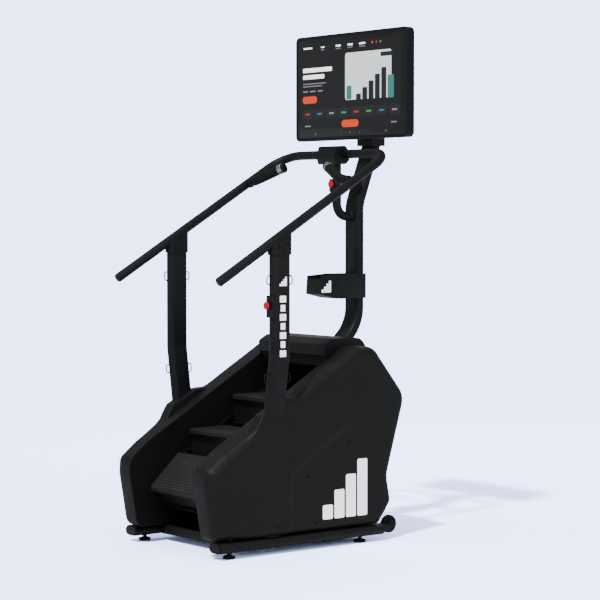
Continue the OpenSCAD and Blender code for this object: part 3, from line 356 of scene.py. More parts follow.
def makeStepPlastic():
    look = {"colour": (0.017, 0.0173, 0.0185), "shade": (0.023, 0.0234, 0.0245), "dash": 0.027, "row": 0.0135,
            "raise": 0.0012, "mark": (0.060, 0.061, 0.064), "halfWidth": 0.207, "front": -0.108, "back": 0.080}
    material, tree, shader, place = startMaterial("stepPlastic")
    layout = tree.nodes.new("ShaderNodeTexCoord").outputs["UV"]
    parts = tree.nodes.new("ShaderNodeSeparateXYZ")
    tree.links.new(layout, parts.inputs[0])
    # the layout stands one metre out on both axes, so faces left at nought carry no pattern
    across, along = [mathNode(tree, "SUBTRACT", parts.outputs[axis], 1.0) for axis in "XY"]
    rows = mathNode(tree, "DIVIDE", along, look["row"])
    rowNumber = mathNode(tree, "FLOOR", rows)
    rowPlace = mathNode(tree, "SUBTRACT", rows, rowNumber)
    slide = mathNode(tree, "MULTIPLY", mathNode(tree, "MODULO", rowNumber, 2.0), 0.5)
    dashes = mathNode(tree, "FRACT", mathNode(tree, "ADD", mathNode(tree, "DIVIDE", across, look["dash"]), slide))
    offRow, offDash = [mathNode(tree, "ABSOLUTE", mathNode(tree, "SUBTRACT", v, 0.5)) for v in (rowPlace, dashes)]
    inRow = rangeNode(tree, offRow, 0.16, 0.34, 1.0, 0.0)
    inDash = rangeNode(tree, offDash, 0.28, 0.42, 1.0, 0.0)
    pattern = mathNode(tree, "MULTIPLY", inRow, inDash)
    for value, low, high, inner in ((mathNode(tree, "ABSOLUTE", across), look["halfWidth"] - 0.001, look["halfWidth"],
                                     0.0),
                                    (along, look["front"] - 0.001, look["front"], 1.0),
                                    (along, look["back"] - 0.001, look["back"], 0.0)):
        pattern = mathNode(tree, "MULTIPLY", pattern, rangeNode(tree, value, low, high, 1.0 - inner, inner))
    variation = placeGroup(tree, "variation", place, Scale=9.0, Low=0.44, High=0.58)
    wear = placeGroup(tree, "wear", place, Amount=0.35)
    dust = placeGroup(tree, "dust", place, Amount=0.10)
    grain = placeGroup(tree, "grain", place, Scale=1400.0, Pebble=0.5)
    colour = mixColour(tree, variation.outputs["Cloud"], look["colour"], look["shade"])
    colour = mixColour(tree, mathNode(tree, "MULTIPLY", pattern, 0.7), colour, look["mark"])
    colour = mixColour(tree, wear.outputs["Mask"], colour, (0.06, 0.06, 0.063))
    colour = mixColour(tree, dust.outputs["Mask"], colour, (0.14, 0.135, 0.13))
    tree.links.new(colour, shader.inputs["Base Color"])
    tree.links.new(variation.outputs["Value"], shader.inputs["Roughness"])
    fine = bumpNode(tree, grain.outputs["Height"], 0.25, fineBump)
    tree.links.new(bumpNode(tree, pattern, 0.9, look["raise"], fine), shader.inputs["Normal"])
    shader.inputs["Specular IOR Level"].default_value = stepShine
    return material


def makeGlowing(name, colour, strength, rough=0.25):
    material, tree, shader, place = startMaterial(name)
    variation = placeGroup(tree, "variation", place, Scale=14.0, Low=rough, High=rough + 0.06)
    lit = mixColour(tree, variation.outputs["Cloud"], tuple(c * 0.96 for c in colour), colour)
    shader.inputs["Base Color"].default_value = (0.01, 0.01, 0.01, 1)
    tree.links.new(lit, shader.inputs["Emission Color"])
    shader.inputs["Emission Strength"].default_value = strength
    tree.links.new(variation.outputs["Value"], shader.inputs["Roughness"])
    return material


def makeScreenGlass():
    material, tree, shader, place = startMaterial("screenGlass")
    variation = placeGroup(tree, "variation", place, Scale=5.0, Low=0.10, High=0.20)
    tree.links.new(mixColour(tree, variation.outputs["Cloud"], (0.004, 0.004, 0.005), (0.007, 0.007, 0.008)),
                   shader.inputs["Base Color"])
    tree.links.new(variation.outputs["Value"], shader.inputs["Roughness"])
    shader.inputs["Coat Weight"].default_value = 0.3
    return material


materials["stepPlastic"] = makeStepPlastic()
materials["screenGlass"] = makeScreenGlass()
glowColours = {"glowDark": ((0.0035, 0.0038, 0.0045), 1.0), "glowWhite": ((0.9, 0.92, 0.95), 2.6),
               "glowGrey": ((0.30, 0.31, 0.34), 1.0),
               "glowTile": ((0.012, 0.013, 0.016), 1.0), "glowCard": ((0.62, 0.66, 0.68), 1.9),
               "glowOrange": ((0.9, 0.055, 0.004), 1.3),
               "glowTeal": ((0.05, 0.28, 0.24), 1.0), "glowBlue": ((0.04, 0.20, 0.42), 1.0),
               "glowGreen": ((0.05, 0.42, 0.12), 1.0),
               "glowRed": ((0.55, 0.03, 0.03), 1.0), "keyMark": ((0.10, 0.10, 0.11), 1.0)}
for glowName, (glowColour, glowPower) in glowColours.items():
    materials[glowName] = makeGlowing(glowName, glowColour, glowPower)
print("materials ready")

# Making and fitting pieces


def camelName(nodeName, tail=""):
    first, *others = nodeName.split("_")
    return first + "".join(word.capitalize() for word in others) + tail


def joinRings(bm, rings, capped=True):
    # Faces between neighbouring rings of points, with the first and last ring filled in
    for first, second in zip(rings, rings[1:]):
        for k in range(len(first)):
            after = (k + 1) % len(first)
            bm.faces.new((first[k], first[after], second[after], second[k]))
    if capped:
        bm.faces.new(rings[0])
        bm.faces.new(rings[-1])
    return bm


def blockInto(bm, low, high):
    # A solid between two matching outlines
    return joinRings(bm, [[bm.verts.new(p) for p in low], [bm.verts.new(p) for p in high]])


def addPiece(name, bm, finish, body="frame", standsFor=(), smooth=35, inRow=False):
    if not inRow:
        bmesh.ops.transform(bm, matrix=intoRow, verts=bm.verts)
    bmesh.ops.recalc_face_normals(bm, faces=bm.faces)
    mesh = bpy.data.meshes.new(name)
    bm.to_mesh(mesh)
    bm.free()
    for polygon in mesh.polygons:
        polygon.use_smooth = True
    mesh.set_sharp_from_angle(angle=math.radians(smooth))
    mesh.materials.append(materials[finish])
    piece = bpy.data.objects.new(name, mesh)
    scene.collection.objects.link(piece)
    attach(piece, body)
    if standsFor:
        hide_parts(*standsFor)
    return piece


def softenEdges(bm, width, segments=3, angle=30):
    sharp = [e for e in bm.edges if e.is_manifold and e.calc_face_angle(0) > math.radians(angle)]
    if sharp:
        bmesh.ops.bevel(bm, geom=sharp, offset=width, segments=segments, profile=0.6, affect="EDGES",
                        clamp_overlap=True)


def dressNode(nodeName, finish, width=0.0015, segments=3):
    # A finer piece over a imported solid: its flat faces joined up and its edges rounded
    source = nodes[nodeName]
    bm = bmesh.new()
    bm.from_mesh(source.data)
    bmesh.ops.remove_doubles(bm, verts=bm.verts, dist=0.00002)
    bmesh.ops.dissolve_limit(bm, angle_limit=math.radians(1.0), verts=bm.verts, edges=bm.edges)
    softenEdges(bm, width, segments)
    return addPiece(camelName(nodeName, "Piece"), bm, finish, source["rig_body"], (nodeName,), 40,
                    inRow=True)


def solidBoxes(nodeName):
    # The lowest and highest corner of each separate solid in a node
    bm = bmesh.new()
    bm.from_mesh(nodes[nodeName].data)
    bmesh.ops.remove_doubles(bm, verts=bm.verts, dist=0.00002)
    left, found = set(bm.verts), []
    while left:
        queue = [left.pop()]
        low, high = queue[0].co.copy(), queue[0].co.copy()
        while queue:
            vert = queue.pop()
            for axis in range(3):
                low[axis] = min(low[axis], vert.co[axis])
                high[axis] = max(high[axis], vert.co[axis])
            for edge in vert.link_edges:
                other = edge.other_vert(vert)
                if other in left:
                    left.remove(other)
                    queue.append(other)
        found.append((low, high))
    bm.free()
    return sorted(found, key=lambda pair: tuple(round(c, 4) for c in pair[0]))


def arcRound(before, corner, after, radius, steps):
    # The round of this radius where two straight runs meet
    before, after = (before - corner).normalized(), (after - corner).normalized()
    half = before.angle(after) / 2
    centre = corner + (before + after).normalized() * radius / math.sin(half)
    first = corner + before * radius / math.tan(half) - centre
    last = corner + after * radius / math.tan(half) - centre
    total = first.angle(last)
    return [centre + (first * math.sin((1 - t) * total) + last * math.sin(t * total)) / math.sin(total)
            for t in [k / steps for k in range(steps + 1)]]


def easeRound(before, corner, after, radius, steps):
    # A small parabola across a corner, never longer than the runs beside it allow
    before, after = before - corner, after - corner
    r = min(radius, before.length * 0.45, after.length * 0.45)
    start, end = corner + before.normalized() * r, corner + after.normalized() * r
    return [start * (1 - t) ** 2 + corner * 2 * t * (1 - t) + end * t ** 2 for t in [k / steps for k in range(steps + 1)]]


def bentRoute(corners, radius, steps=12):
    corners = [Vector(c) for c in corners]
    bends = [p for a, b, c in zip(corners, corners[1:], corners[2:]) for p in arcRound(a, b, c, radius, steps)]
    return [corners[0], *bends, corners[-1]]


def ovalSection(width, height, radius, steps=8):
    return [(sx * (width / 2 - radius) + radius * math.cos(a), sy * (height / 2 - radius) + radius * math.sin(a))
            for sx, sy, quarter in ((1, 1, 0), (-1, 1, 1), (-1, -1, 2), (1, -1, 3))
            for a in [math.pi / 2 * (quarter + k / steps) for k in range(steps + 1)]]


def sweepInto(bm, route, section, sideways, scales=None, endRound=0.0):
    # Carries a section along a route; its second coordinate follows the sideways direction
    sideways = Vector(sideways).normalized()
    route = [Vector(p) for p in route]
    scales = list(scales or [1.0] * len(route))
    if endRound:
        size = max(abs(c) for p in section for c in p)
        start, end = (route[1] - route[0]).normalized(), (route[-1] - route[-2]).normalized()
        turns = [math.pi / 2 * k / 5 for k in range(5)]
        reaches = [endRound * (1 - math.cos(a)) for a in turns]
        shrinks = [1 - endRound / size * (1 - math.sin(a)) for a in turns]
        route = ([route[0] + start * r for r in reaches] + [route[0] + start * endRound] + route[1:-1]
                 + [route[-1] - end * endRound] + [route[-1] - end * r for r in reaches[::-1]])
        scales = shrinks + scales + shrinks[::-1]
    rings = []
    for i, point in enumerate(route):
        heading = (route[min(i + 1, len(route) - 1)] - route[max(i - 1, 0)]).normalized()
        inPlane = heading.cross(sideways).normalized()
        up = inPlane.cross(heading).normalized()
        rings.append([bm.verts.new(point + inPlane * u * scales[i] + up * v * scales[i]) for u, v in section])
    return joinRings(bm, rings)


def turnInto(bm, profile, centre, axis, steps=40):
    # Turns a profile of (distance along the axis, radius) about an axis
    axis = Vector(axis).normalized()
    first = axis.orthogonal().normalized()
    second = axis.cross(first)
    rings = []
    for reach, radius in profile:
        rings.append([bm.verts.new(Vector(centre) + axis * reach + radius * (first * math.cos(a) + second * math.sin(a)))
                      for a in [2 * math.pi * k / steps for k in range(steps)]])
    return joinRings(bm, rings)


def softProfile(points, radius=0.0015, steps=4):
    # Rounds the corners of a (reach, radius) profile
    flat = [Vector(p) for p in points]
    made = [p for a, b, c in zip(flat, flat[1:], flat[2:]) for p in easeRound(a, b, c, radius, steps)]
    return [(p.x, p.y) for p in (flat[0], *made, flat[-1])]


def roundedOutline(corners, steps=8, spacing=0.012):
    flat = [Vector(c[:2]) for c in corners]
    made = []
    for i, corner in enumerate(corners):
        made += arcRound(flat[i - 1], flat[i], flat[(i + 1) % len(flat)], corner[2], steps)
    dense = []
    for a, b in zip(made, made[1:] + made[:1]):
        cuts = max(1, int((b - a).length / spacing))
        dense += [a.lerp(b, k / cuts) for k in range(cuts)]
    return dense


def distanceTo(points, outline):
    # Distance of each point to a closed outline, and whether it lies inside
    points, ring = np.array(points, float), np.array(outline, float)
    nearest, inside = np.full(len(points), 1e9), np.zeros(len(points), bool)
    for a, b in zip(ring, np.roll(ring, -1, axis=0)):
        step = b - a
        t = np.clip(((points - a) @ step) / max(step @ step, 1e-12), 0, 1)
        nearest = np.minimum(nearest, np.linalg.norm(points - (a + t[:, None] * step), axis=1))
        crosses = (a[1] > points[:, 1]) != (b[1] > points[:, 1])
        with np.errstate(divide="ignore", invalid="ignore"):
            inside ^= crosses & (points[:, 0] < (b[0] - a[0]) * (points[:, 1] - a[1]) / (b[1] - a[1] + 1e-15) + a[0])
    return nearest, inside


def smoothStep(value, low, high):
    t = np.clip((value - low) / (high - low), 0, 1)
    return t * t * (3 - 2 * t)


def insetOutline(outline, reach):
    count = len(outline)
    made = []
    for i in range(count):
        a, b = (outline[i] - outline[i - 1]).normalized(), (outline[(i + 1) % count] - outline[i]).normalized()
        na, nb = Vector((-a.y, a.x)), Vector((-b.y, b.x))
        made.append(outline[i] + reach * (na + nb) / (1 + na.dot(nb)))
    return made


# The stair's layout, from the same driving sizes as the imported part
stair = {"going": 0.225, "rise": 0.131, "pinBack": 0.119, "pinDown": 0.029, "rest": 0.763, "lowerY": -0.240,
         "baseTop": 0.065,
         "treadHalf": 0.217}
pitch = math.hypot(stair["going"], stair["rise"])
incline = math.atan2(stair["rise"], stair["going"])
chainRadius = pitch / math.pi
along = Vector((math.cos(incline), math.sin(incline)))
outward = Vector((-math.sin(incline), math.cos(incline)))
swing = (chainRadius * outward + Vector((-stair["pinBack"], stair["pinDown"]))).length
lowerAxis = Vector((stair["lowerY"], stair["baseTop"] + 0.010 + swing))
upperAxis = lowerAxis + 2 * pitch * along
secondNose = lowerAxis + chainRadius * outward + stair["rest"] * pitch * along + Vector((-stair["pinBack"], stair["pinDown"]))


def noseLine(y):
    return secondNose.y + (y - secondNose.x) * math.tan(incline)


# Side covers
cover = {"outerX": 0.340, "innerX": 0.225, "bottom": 0.071, "aboveNoses": 0.071, "edgeRadius": 0.035,
         "frontRadius": 0.055,
         "seatRadius": 0.009, "seatInnerX": 0.283, "seatRise": 0.038, "lip": 0.0035, "grid": 0.009,
         "reliefDepth": 0.0045,
         "reliefWidth": 0.012}
coverFront, coverTop, coverRear = lowerAxis.x - swing - 0.083, upperAxis.y + swing + 0.097, upperAxis.x + swing + 0.107
seatFront, seatRear = sketchPostY - postSize["depth"] / 2 - 0.024, sketchPostY + postSize["depth"] / 2


def coverLine(y):
    return noseLine(y) + cover["aboveNoses"]


def coverCorners(withSeat):
    inclineTop = secondNose.x + (coverTop - cover["aboveNoses"] - secondNose.y) / math.tan(incline)
    rear = [(coverRear - 0.140, cover["bottom"], 0.015), (coverRear - 0.076, cover["bottom"] + 0.094, 0.040),
            (coverRear - 0.098, cover["bottom"] + 0.200, 0.120), (coverRear, coverTop - 0.212, 0.080),
            (upperAxis.x + 0.124, coverTop, 0.070), (inclineTop, coverTop, 0.050)]
    seat = [(seatRear + 0.062, coverLine(seatRear + 0.062), 0.012),
            (seatRear, coverLine(seatRear) + cover["seatRise"] - 0.008, 0.024),
            (seatFront, coverLine(seatFront) + cover["seatRise"], 0.014),
            (seatFront - 0.036, coverLine(seatFront - 0.036), 0.020)]
    front = [(coverFront + 0.084, coverLine(coverFront + 0.084), 0.080),
             (coverFront + 0.004, cover["bottom"] + 0.286, 0.050),
             (coverFront, cover["bottom"] + 0.222, 0.070), (coverFront + 0.038, cover["bottom"], 0.036)]
    return rear + (seat if withSeat else []) + front


reliefCorners = [(0.400, 0.030, 0.02), (0.352, 0.270, 0.06), (0.268, 0.494, 0.05), (0.188, 0.494, 0.06),
                 (-0.108, 0.318, 0.08),
                 (-0.114, 0.030, 0.02)]


def makeCoverShape():
    # Points over the outer face: rings that follow the rounded edge, then an even grid
    outline = roundedOutline(coverCorners(True))
    points = [tuple(p) for p in outline]
    edges = [(i, (i + 1) % len(outline)) for i in range(len(outline))]
    reaches = (0.0004, 0.0012, 0.0025, 0.0045, 0.0075, 0.0115, 0.0165, 0.0225, 0.0295, 0.0375, 0.0460, 0.0550)
    for reach in reaches:
        ring = [tuple(p) for p in insetOutline(outline, reach)]
        away, inside = distanceTo(ring, outline)
        points += [p for p, d, i in zip(ring, away, inside) if i and d > 0.985 * reach]
    grid = cover["grid"]
    low, high = np.array(outline).min(0), np.array(outline).max(0)
    field = [(low[0] + grid * (c + 0.5 * (r % 2)), low[1] + grid * 0.866 * r)
             for r in range(int((high[1] - low[1]) / grid / 0.866) + 1) for c in range(int((high[0] - low[0]) / grid) + 1)]
    away, inside = distanceTo(field, outline)
    points += [p for p, d, i in zip(field, away, inside) if i and d > reaches[-1] + grid * 0.6]
    verts, dense, faces, *rest = delaunay_2d_cdt([Vector(p) for p in points], edges, [], 1, 0.00001)
    flat = np.array([tuple(v) for v in verts])
    away, inside = distanceTo(flat, outline)
    radius = np.full(len(flat), cover["edgeRadius"])
    radius += (cover["frontRadius"] - cover["edgeRadius"]) * smoothStep(-flat[:, 0], 0.30, 0.42)
    nearSeat = smoothStep(flat[:, 0], seatFront - 0.075,
                          seatFront - 0.020) * (1 - smoothStep(flat[:, 0], seatRear + 0.035, seatRear + 0.085))
    nearSeat *= smoothStep(flat[:, 1] - np.array([coverLine(y) for y in flat[:, 0]]), -0.070, -0.020)
    radius += (cover["seatRadius"] - radius) * nearSeat
    into = np.clip(radius - away, 0, None)
    depth = radius - np.sqrt(np.clip(radius ** 2 - into ** 2, 0, None))
    relief, within = distanceTo(flat, roundedOutline(reliefCorners))
    signed = np.where(within, relief, -relief)
    depth += cover["reliefDepth"] * smoothStep(signed, -cover["reliefWidth"], cover["reliefWidth"])
    return outline, flat, faces, cover["outerX"] - depth


coverShape = makeCoverShape()
print("cover shape worked out:", len(coverShape[1]), "points")


def makeCover(side, name, nodeName):
    outline, flat, faces, outX = coverShape
    bm = bmesh.new()
    verts = [bm.verts.new((side * x, y, z)) for (y, z), x in zip(flat, outX)]
    for face in faces:
        bm.faces.new([verts[i] for i in face])
    for vert in [v for v in bm.verts if not v.link_faces]:
        bm.verts.remove(vert)
    # the rim wall runs inwards from the rounded edge to the plane of the post seat
    rim = [e for e in bm.edges if e.is_boundary]
    walk = [rim[0].verts[0]]
    while True:
        onward = [e.other_vert(walk[-1]) for e in walk[-1].link_edges if e.is_boundary and e.other_vert(walk[-1]) not in walk[-2:]]
        if not onward or onward[0] is walk[0] or len(walk) > len(rim) + 2:
            break
        walk.append(onward[0])
    ring = [v.co.copy() for v in walk]
    bumps = [max(0.0,
                 p.z - coverLine(p.y)) if seatFront - 0.040 < p.y < seatRear + 0.066 and p.z > 0.4 else 0.0 for p in ring]
    previous = walk
    for outwards, drop in ((0.0090, 0.0), (0.0035, 0.0006), (0.0012, 0.0022), (0.0, 0.0060)):
        level = []
        for p, bump in zip(ring, bumps):
            share = min(1.0, bump / 0.012)
            x = min(cover["seatInnerX"] + outwards, abs(p.x) - 0.0009 + 0.1 * outwards)
            level.append(bm.verts.new((side * x, p.y, p.z - drop * share)))
        joinRings(bm, [previous, level], False)
        previous = level
    # the inner face of the post seat
    foot = {}
    for k, bump in enumerate(bumps):
        if bump > 0.0004:
            foot[k] = bm.verts.new((side * cover["seatInnerX"], ring[k].y, coverLine(ring[k].y) - 0.004))
    for k in foot:
        n = (k + 1) % len(ring)
        if n in foot:
            bm.faces.new((previous[k], previous[n], foot[n], foot[k]))
    # the straight rim beside the stairs, with a small lip
    plain = roundedOutline(coverCorners(False))
    lip = cover["lip"]
    levels = [(cover["seatInnerX"] + 0.0005, 0.0), (cover["innerX"] + lip, 0.0),
              (cover["innerX"] + lip * 0.5, lip * 0.13),
              (cover["innerX"] + lip * 0.13, lip * 0.5), (cover["innerX"], lip)]
    rings = []
    for x, drop in levels:
        rings.append([bm.verts.new((side * x, p.x, p.y)) for p in (insetOutline(plain, drop) if drop else plain)])
    joinRings(bm, rings, False)
    return addPiece(name, bm, "mouldedCover", "frame", (nodeName,), 40)


makeCover(1, "rightCoverShell", "right_side_cover")
makeCover(-1, "leftCoverShell", "left_side_cover")


# Printed marks: a plain stair sign of the maker's own, in white print with a painted glow
def stairSign(bm, place, size, thickness, across, up, out, steps=4, gap=0.16):
    # Rising bars with rounded ends; across and up span the sign, out faces the viewer
    across, up, out, place = Vector(across), Vector(up), Vector(out), Vector(place)
    width = size / (steps + (steps - 1) * gap)
    for k in range(steps):
        tall = size * (k + 1) / steps
        left = place + across * k * width * (1 + gap)
        shape = [(u + width / 2, v + tall / 2) for u, v in ovalSection(width, tall, width * 0.14, 6)]
        blockInto(bm, [left + across * u + up * v for u, v in shape],
                  [left + across * u + up * v + out * thickness for u, v in shape])
    return bm


signs = {"coverSize": 0.235, "coverPlace": (0.055, 0.118), "thickness": 0.0004}
for side, name in ((1, "rightCoverSign"), (-1, "leftCoverSign")):
    bm = bmesh.new()
    face = cover["outerX"] - cover["reliefDepth"]
    stairSign(bm, (side * face, signs["coverPlace"][0], signs["coverPlace"][1]), signs["coverSize"],
              side * signs["thickness"],
              (0, 1, 0), (0, 0, 1), (1, 0, 0))
    addPiece(name, bm, "whitePrintPaintedGlow")

# Hood and panels
dressNode("top_hood", "mouldedCover", 0.004, 4)
dressNode("hood_front_panel", "innerSkirt", 0.001)
dressNode("rear_panel", "mouldedCover", 0.0012)
print("covers and hood made")

# Posts, saddles and loops
post = {"lowX": 0.294, "highX": 0.356, "bottom": 0.068, "bendLow": 0.412, "bendHigh": 0.800, "bend": 0.160,
        "half": 0.0219}
for side, name, nodeName in ((1, "rightPostTube", "right_post"), (-1, "leftPostTube", "left_post")):
    bm = bmesh.new()
    route = bentRoute([(side * post["lowX"], sketchPostY, post["bottom"]),
                       (side * post["lowX"], sketchPostY, post["bendLow"]),
                       (side * post["highX"], sketchPostY, post["bendHigh"]),
                       (side * post["highX"], sketchPostY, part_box(nodeName)[1].z)],
                      post["bend"], 16)
    sweepInto(bm, route, ovalSection(postSize["width"], postSize["depth"], post["half"], 10), (0, 1, 0))
    addPiece(name, bm, "powderBlack", "frame", (nodeName,))
dressNode("post_saddles", "powderBlack", 0.0015)
for nodeName, finish in (("band_loops", "powderBlack"), ("foot_lock_nuts", "blackHardware"),
                         ("wheel_bolts", "blackHardware")):
    dressNode(nodeName, finish, 0.0006, 2)


postMarks = {"signPlace": (-0.017, 1.075), "signSize": 0.036, "barTop": 1.036, "barStep": 0.036, "barTall": 0.026,
             "barWidths": (0.030, 0.022), "bars": 7, "thickness": 0.0004}


def makePostMarks():
    # A small stair sign over a column of plain bars, on the right post's outer face
    bm = bmesh.new()
    face, thick = post["highX"] + postSize["width"] / 2, postMarks["thickness"]
    along, up = postMarks["signPlace"]
    stairSign(bm, (face, sketchPostY + along, up), postMarks["signSize"], thick, (0, 1, 0), (0, 0, 1), (1, 0, 0))
    for k in range(postMarks["bars"]):
        half, top = postMarks["barWidths"][k % 2] / 2, postMarks["barTop"] - k * postMarks["barStep"]
        shape = [(sketchPostY + u, top - v) for u, v in ((-half, postMarks["barTall"]), (half, postMarks["barTall"]),
                                                         (half, 0), (-half, 0))]
        rings = [[bm.verts.new((x, y, z)) for y, z in shape] for x in (face, face + thick)]
        joinRings(bm, rings, capped=False)
        bm.faces.new(rings[1])
    addPiece("postMarks", bm, "whitePrintPaintedGlow")


makePostMarks()

# Handrail, grips and pod
rail = {"x": 0.356, "slope": math.radians(30.6), "length": 1.015, "reach": 0.339, "top": 1.270, "corner": 0.105,
        "diameter": 0.038}
railDir = Vector((0, math.cos(rail["slope"]), math.sin(rail["slope"])))
railUp = Vector((0, -math.sin(rail["slope"]), math.cos(rail["slope"])))
railStart = Vector((0, sketchPostY, rail["top"])) - rail["reach"] * railDir
crossbar = railStart + rail["length"] * railDir


def roundSection(diameter, steps=28):
    return [(diameter / 2 * math.cos(2 * math.pi * k / steps),
             diameter / 2 * math.sin(2 * math.pi * k / steps)) for k in range(steps)]


def makeHandrail():
    bm = bmesh.new()
    sideX = Vector((rail["x"], 0, 0))
    route = bentRoute([railStart + sideX, crossbar + sideX, crossbar - sideX, railStart - sideX], rail["corner"], 20)
    sweepInto(bm, route, roundSection(rail["diameter"], 32), railUp)
    addPiece("handrailTube", bm, "powderBlack", "frame", ("handrail",))
    bm = bmesh.new()
    for side in (1, -1):
        profile = [(-0.002, 0.010), (-0.002, 0.0188), (0.0045, 0.0190), (0.0075, 0.0178), (0.0092, 0.0145),
                   (0.0099, 0.008), (0.0100, 0.001)]
        turnInto(bm, softProfile(profile, 0.001), railStart + Vector((side * rail["x"], 0, 0)), -railDir, 40)
    addPiece("handrailEndPlugs", bm, "blackPlastic", "frame", ("handrail_end_plugs",))


def makeGrips():
    grip = {"diameter": 0.042, "contact": (0.84, 0.985), "contactRadius": 0.0222}
    root = crossbar + Vector((rail["x"], -0.207, -0.207 * math.tan(rail["slope"])))
    knee, tip = root + Vector((-0.076, -0.006, 0.014)), root + Vector((-0.206, 0.038, 0.066))
    for side, name, nodeName in ((1, "rightGripSleeve", "right_grip"), (-1, "leftGripSleeve", "left_grip")):
        mirror = Matrix.Diagonal((side, 1, 1, 1))
        route = bentRoute([root + Vector((-0.012, 0, 0.002)), knee, tip], 0.060, 10)
        bm = bmesh.new()
        scales = [0.93 + 0.07 * min(1, i / 5) for i in range(len(route))]
        sweepInto(bm, route, roundSection(grip["diameter"], 30), (0, -0.3, 1), scales, 0.004)
        for t in (0.12, 0.20):
            a = knee.lerp(root, 0.55 + t)
            turnInto(bm, softProfile([(-0.003, 0.015), (-0.003, 0.0218), (0.003, 0.0218), (0.003, 0.015)], 0.0012), a,
                     (root - knee).normalized(), 36)
        bmesh.ops.transform(bm, matrix=mirror, verts=bm.verts)
        addPiece(name, bm, "gripRubber", "frame", (nodeName,))
        bm = bmesh.new()
        a, b = knee.lerp(tip, grip["contact"][0]), knee.lerp(tip, grip["contact"][1])
        length, radius = (b - a).length, grip["contactRadius"]
        turnInto(bm, softProfile([(0, 0.0205), (0.0006, radius), (length - 0.0006, radius), (length, 0.0205)],
                                 0.0006), a, (b - a), 40)
        bmesh.ops.transform(bm, matrix=mirror, verts=bm.verts)
        addPiece(name.replace("Sleeve", "Contact"), bm, "brightContact")
        bm = bmesh.new()
        length = (tip - knee).length * 0.07
        turnInto(bm, softProfile([(-0.002, 0.018), (-0.001, 0.0222), (length * 0.55, 0.0222), (length * 0.85, 0.019),
                                  (length, 0.012),
                                  (length, 0.001)], 0.003), tip, (tip - knee), 40)
        bmesh.ops.transform(bm, matrix=mirror, verts=bm.verts)
        addPiece(name.replace("Sleeve", "EndCap"), bm, "blackPlastic")
    for piece, nodeName in (("rightGripContact", "grip_contacts"), ("rightGripEndCap", "grip_end_caps")):
        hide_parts(nodeName)


makeHandrail()
makeGrips()
dressNode("crossbar_pod", "blackPlastic", 0.006, 4)
print("handrail and grips made")

# Mast, brace and caddy
mast = {"y": 0.500, "width": 0.092, "depth": 0.042, "beam": (0.337, 0.7216), "bendZ": 1.399, "bend": 0.170,
        "corner": 0.016,
        "intoBracket": 0.08}
screenBottom = 1.680
mastTop = Vector((0, mast["y"] + 0.088, screenBottom - 0.040))
mastLean = mastTop - Vector((0, mast["y"], mast["bendZ"]))


def makeMast():
    bm = bmesh.new()
    route = bentRoute([(0, mast["beam"][0] + 0.010, mast["beam"][1] + 0.022), (0, mast["y"], mast["beam"][1] + 0.168),
                       (0, mast["y"], mast["bendZ"]), mastTop + mast["intoBracket"] * mastLean], mast["bend"], 18)
    sweepInto(bm, route, ovalSection(mast["depth"], mast["width"], mast["corner"], 8), (1, 0, 0))
    addPiece("mastTube", bm, "powderBlack", "frame", ("mast",))
    bm = bmesh.new()
    braceY = crossbar.y + 0.003
    route = bentRoute([(0, braceY, crossbar.z - 0.018), (0, braceY, mast["bendZ"] - 0.049),
                       (0, mast["y"] - mast["depth"] / 2 + 0.001, mast["bendZ"] - 0.049)], 0.055, 16)
    sweepInto(bm, route, roundSection(0.038, 32), (1, 0, 0))
    turnInto(bm, softProfile([(0, 0.019), (0, 0.0215), (0.004, 0.0215), (0.007, 0.019)], 0.001),
             (0, mast["y"] - mast["depth"] / 2, mast["bendZ"] - 0.049), (0, -1, 0), 36)
    addPiece("braceTube", bm, "powderBlack", "frame", ("mast_brace",))


makeMast()
dressNode("caddy_bin", "blackPlastic", 0.002)
dressNode("caddy_clamp", "blackPlastic", 0.002)
bm = bmesh.new()
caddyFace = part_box("caddy_bin")[1].x
stairSign(bm, (caddyFace, 0.280, 1.028), 0.050, 0.0004, (0, 1, 0), (0, 0, 1), (1, 0, 0))
addPiece("caddySign", bm, "whitePrintPaintedGlow")

# Stop buttons, red with a painted glow
button = {"radius": 0.0155, "stem": 0.008, "braceZ": 1.488, "postZ": 0.998}
for nodeName, place in (("brace_stop_button", (0, crossbar.y + 0.003 - 0.030, button["braceZ"])),
                        ("post_stop_button", (post["highX"], sketchPostY - postSize["depth"] / 2 - 0.017,
                                              button["postZ"]))):
    bm = bmesh.new()
    r = button["radius"]
    head = [(-0.0235, 0.001), (-0.0235, 0.0078), (-0.0005, 0.0078), (0.0, r - 0.002), (0.0015, r), (0.0050, r),
            (0.0078, r * 0.90),
            (0.0098, r * 0.66), (0.0108, r * 0.35), (0.0110, 0.0005)]
    turnInto(bm, softProfile(head, 0.0012), place, (0, -1, 0), 44)
    addPiece(camelName(nodeName), bm, "stopRed", nodeName, (nodeName,))
dressNode("stop_button_bases", "blackPlastic", 0.002)
print("mast, caddy and buttons made")

# Screen
screen = {"front": 0.474, "width": 0.748, "height": 0.458, "bezel": 0.012, "corner": 0.025, "border": 0.0143,
          "glass": 0.0015}
screenMiddle = screenBottom + screen["height"] / 2


def slabInto(bm, shape, place, front, back, edge=0.0, steps=3):
    # A flat slab facing the user: shape in the XZ plane, softened round its front edge
    middle = Vector((sum(p[0] for p in shape) / len(shape), sum(p[1] for p in shape) / len(shape)))
    rings = []
    for k in range(steps + 1 if edge else 1):
        a = math.pi / 2 * (k / steps if edge else 1)
        y = front + edge * (1 - math.sin(a)) if edge else front
        shrink = edge * (1 - math.cos(a)) if edge else 0
        rings.append([bm.verts.new((place[0] + u - math.copysign(min(abs(u - middle.x), shrink), u - middle.x), y,
                                    place[1] + v - math.copysign(min(abs(v - middle.y), shrink),
                                                                 v - middle.y))) for u, v in shape])
    rings.reverse()
    rings.append([bm.verts.new((place[0] + u, back, place[1] + v)) for u, v in shape])
    return joinRings(bm, rings)


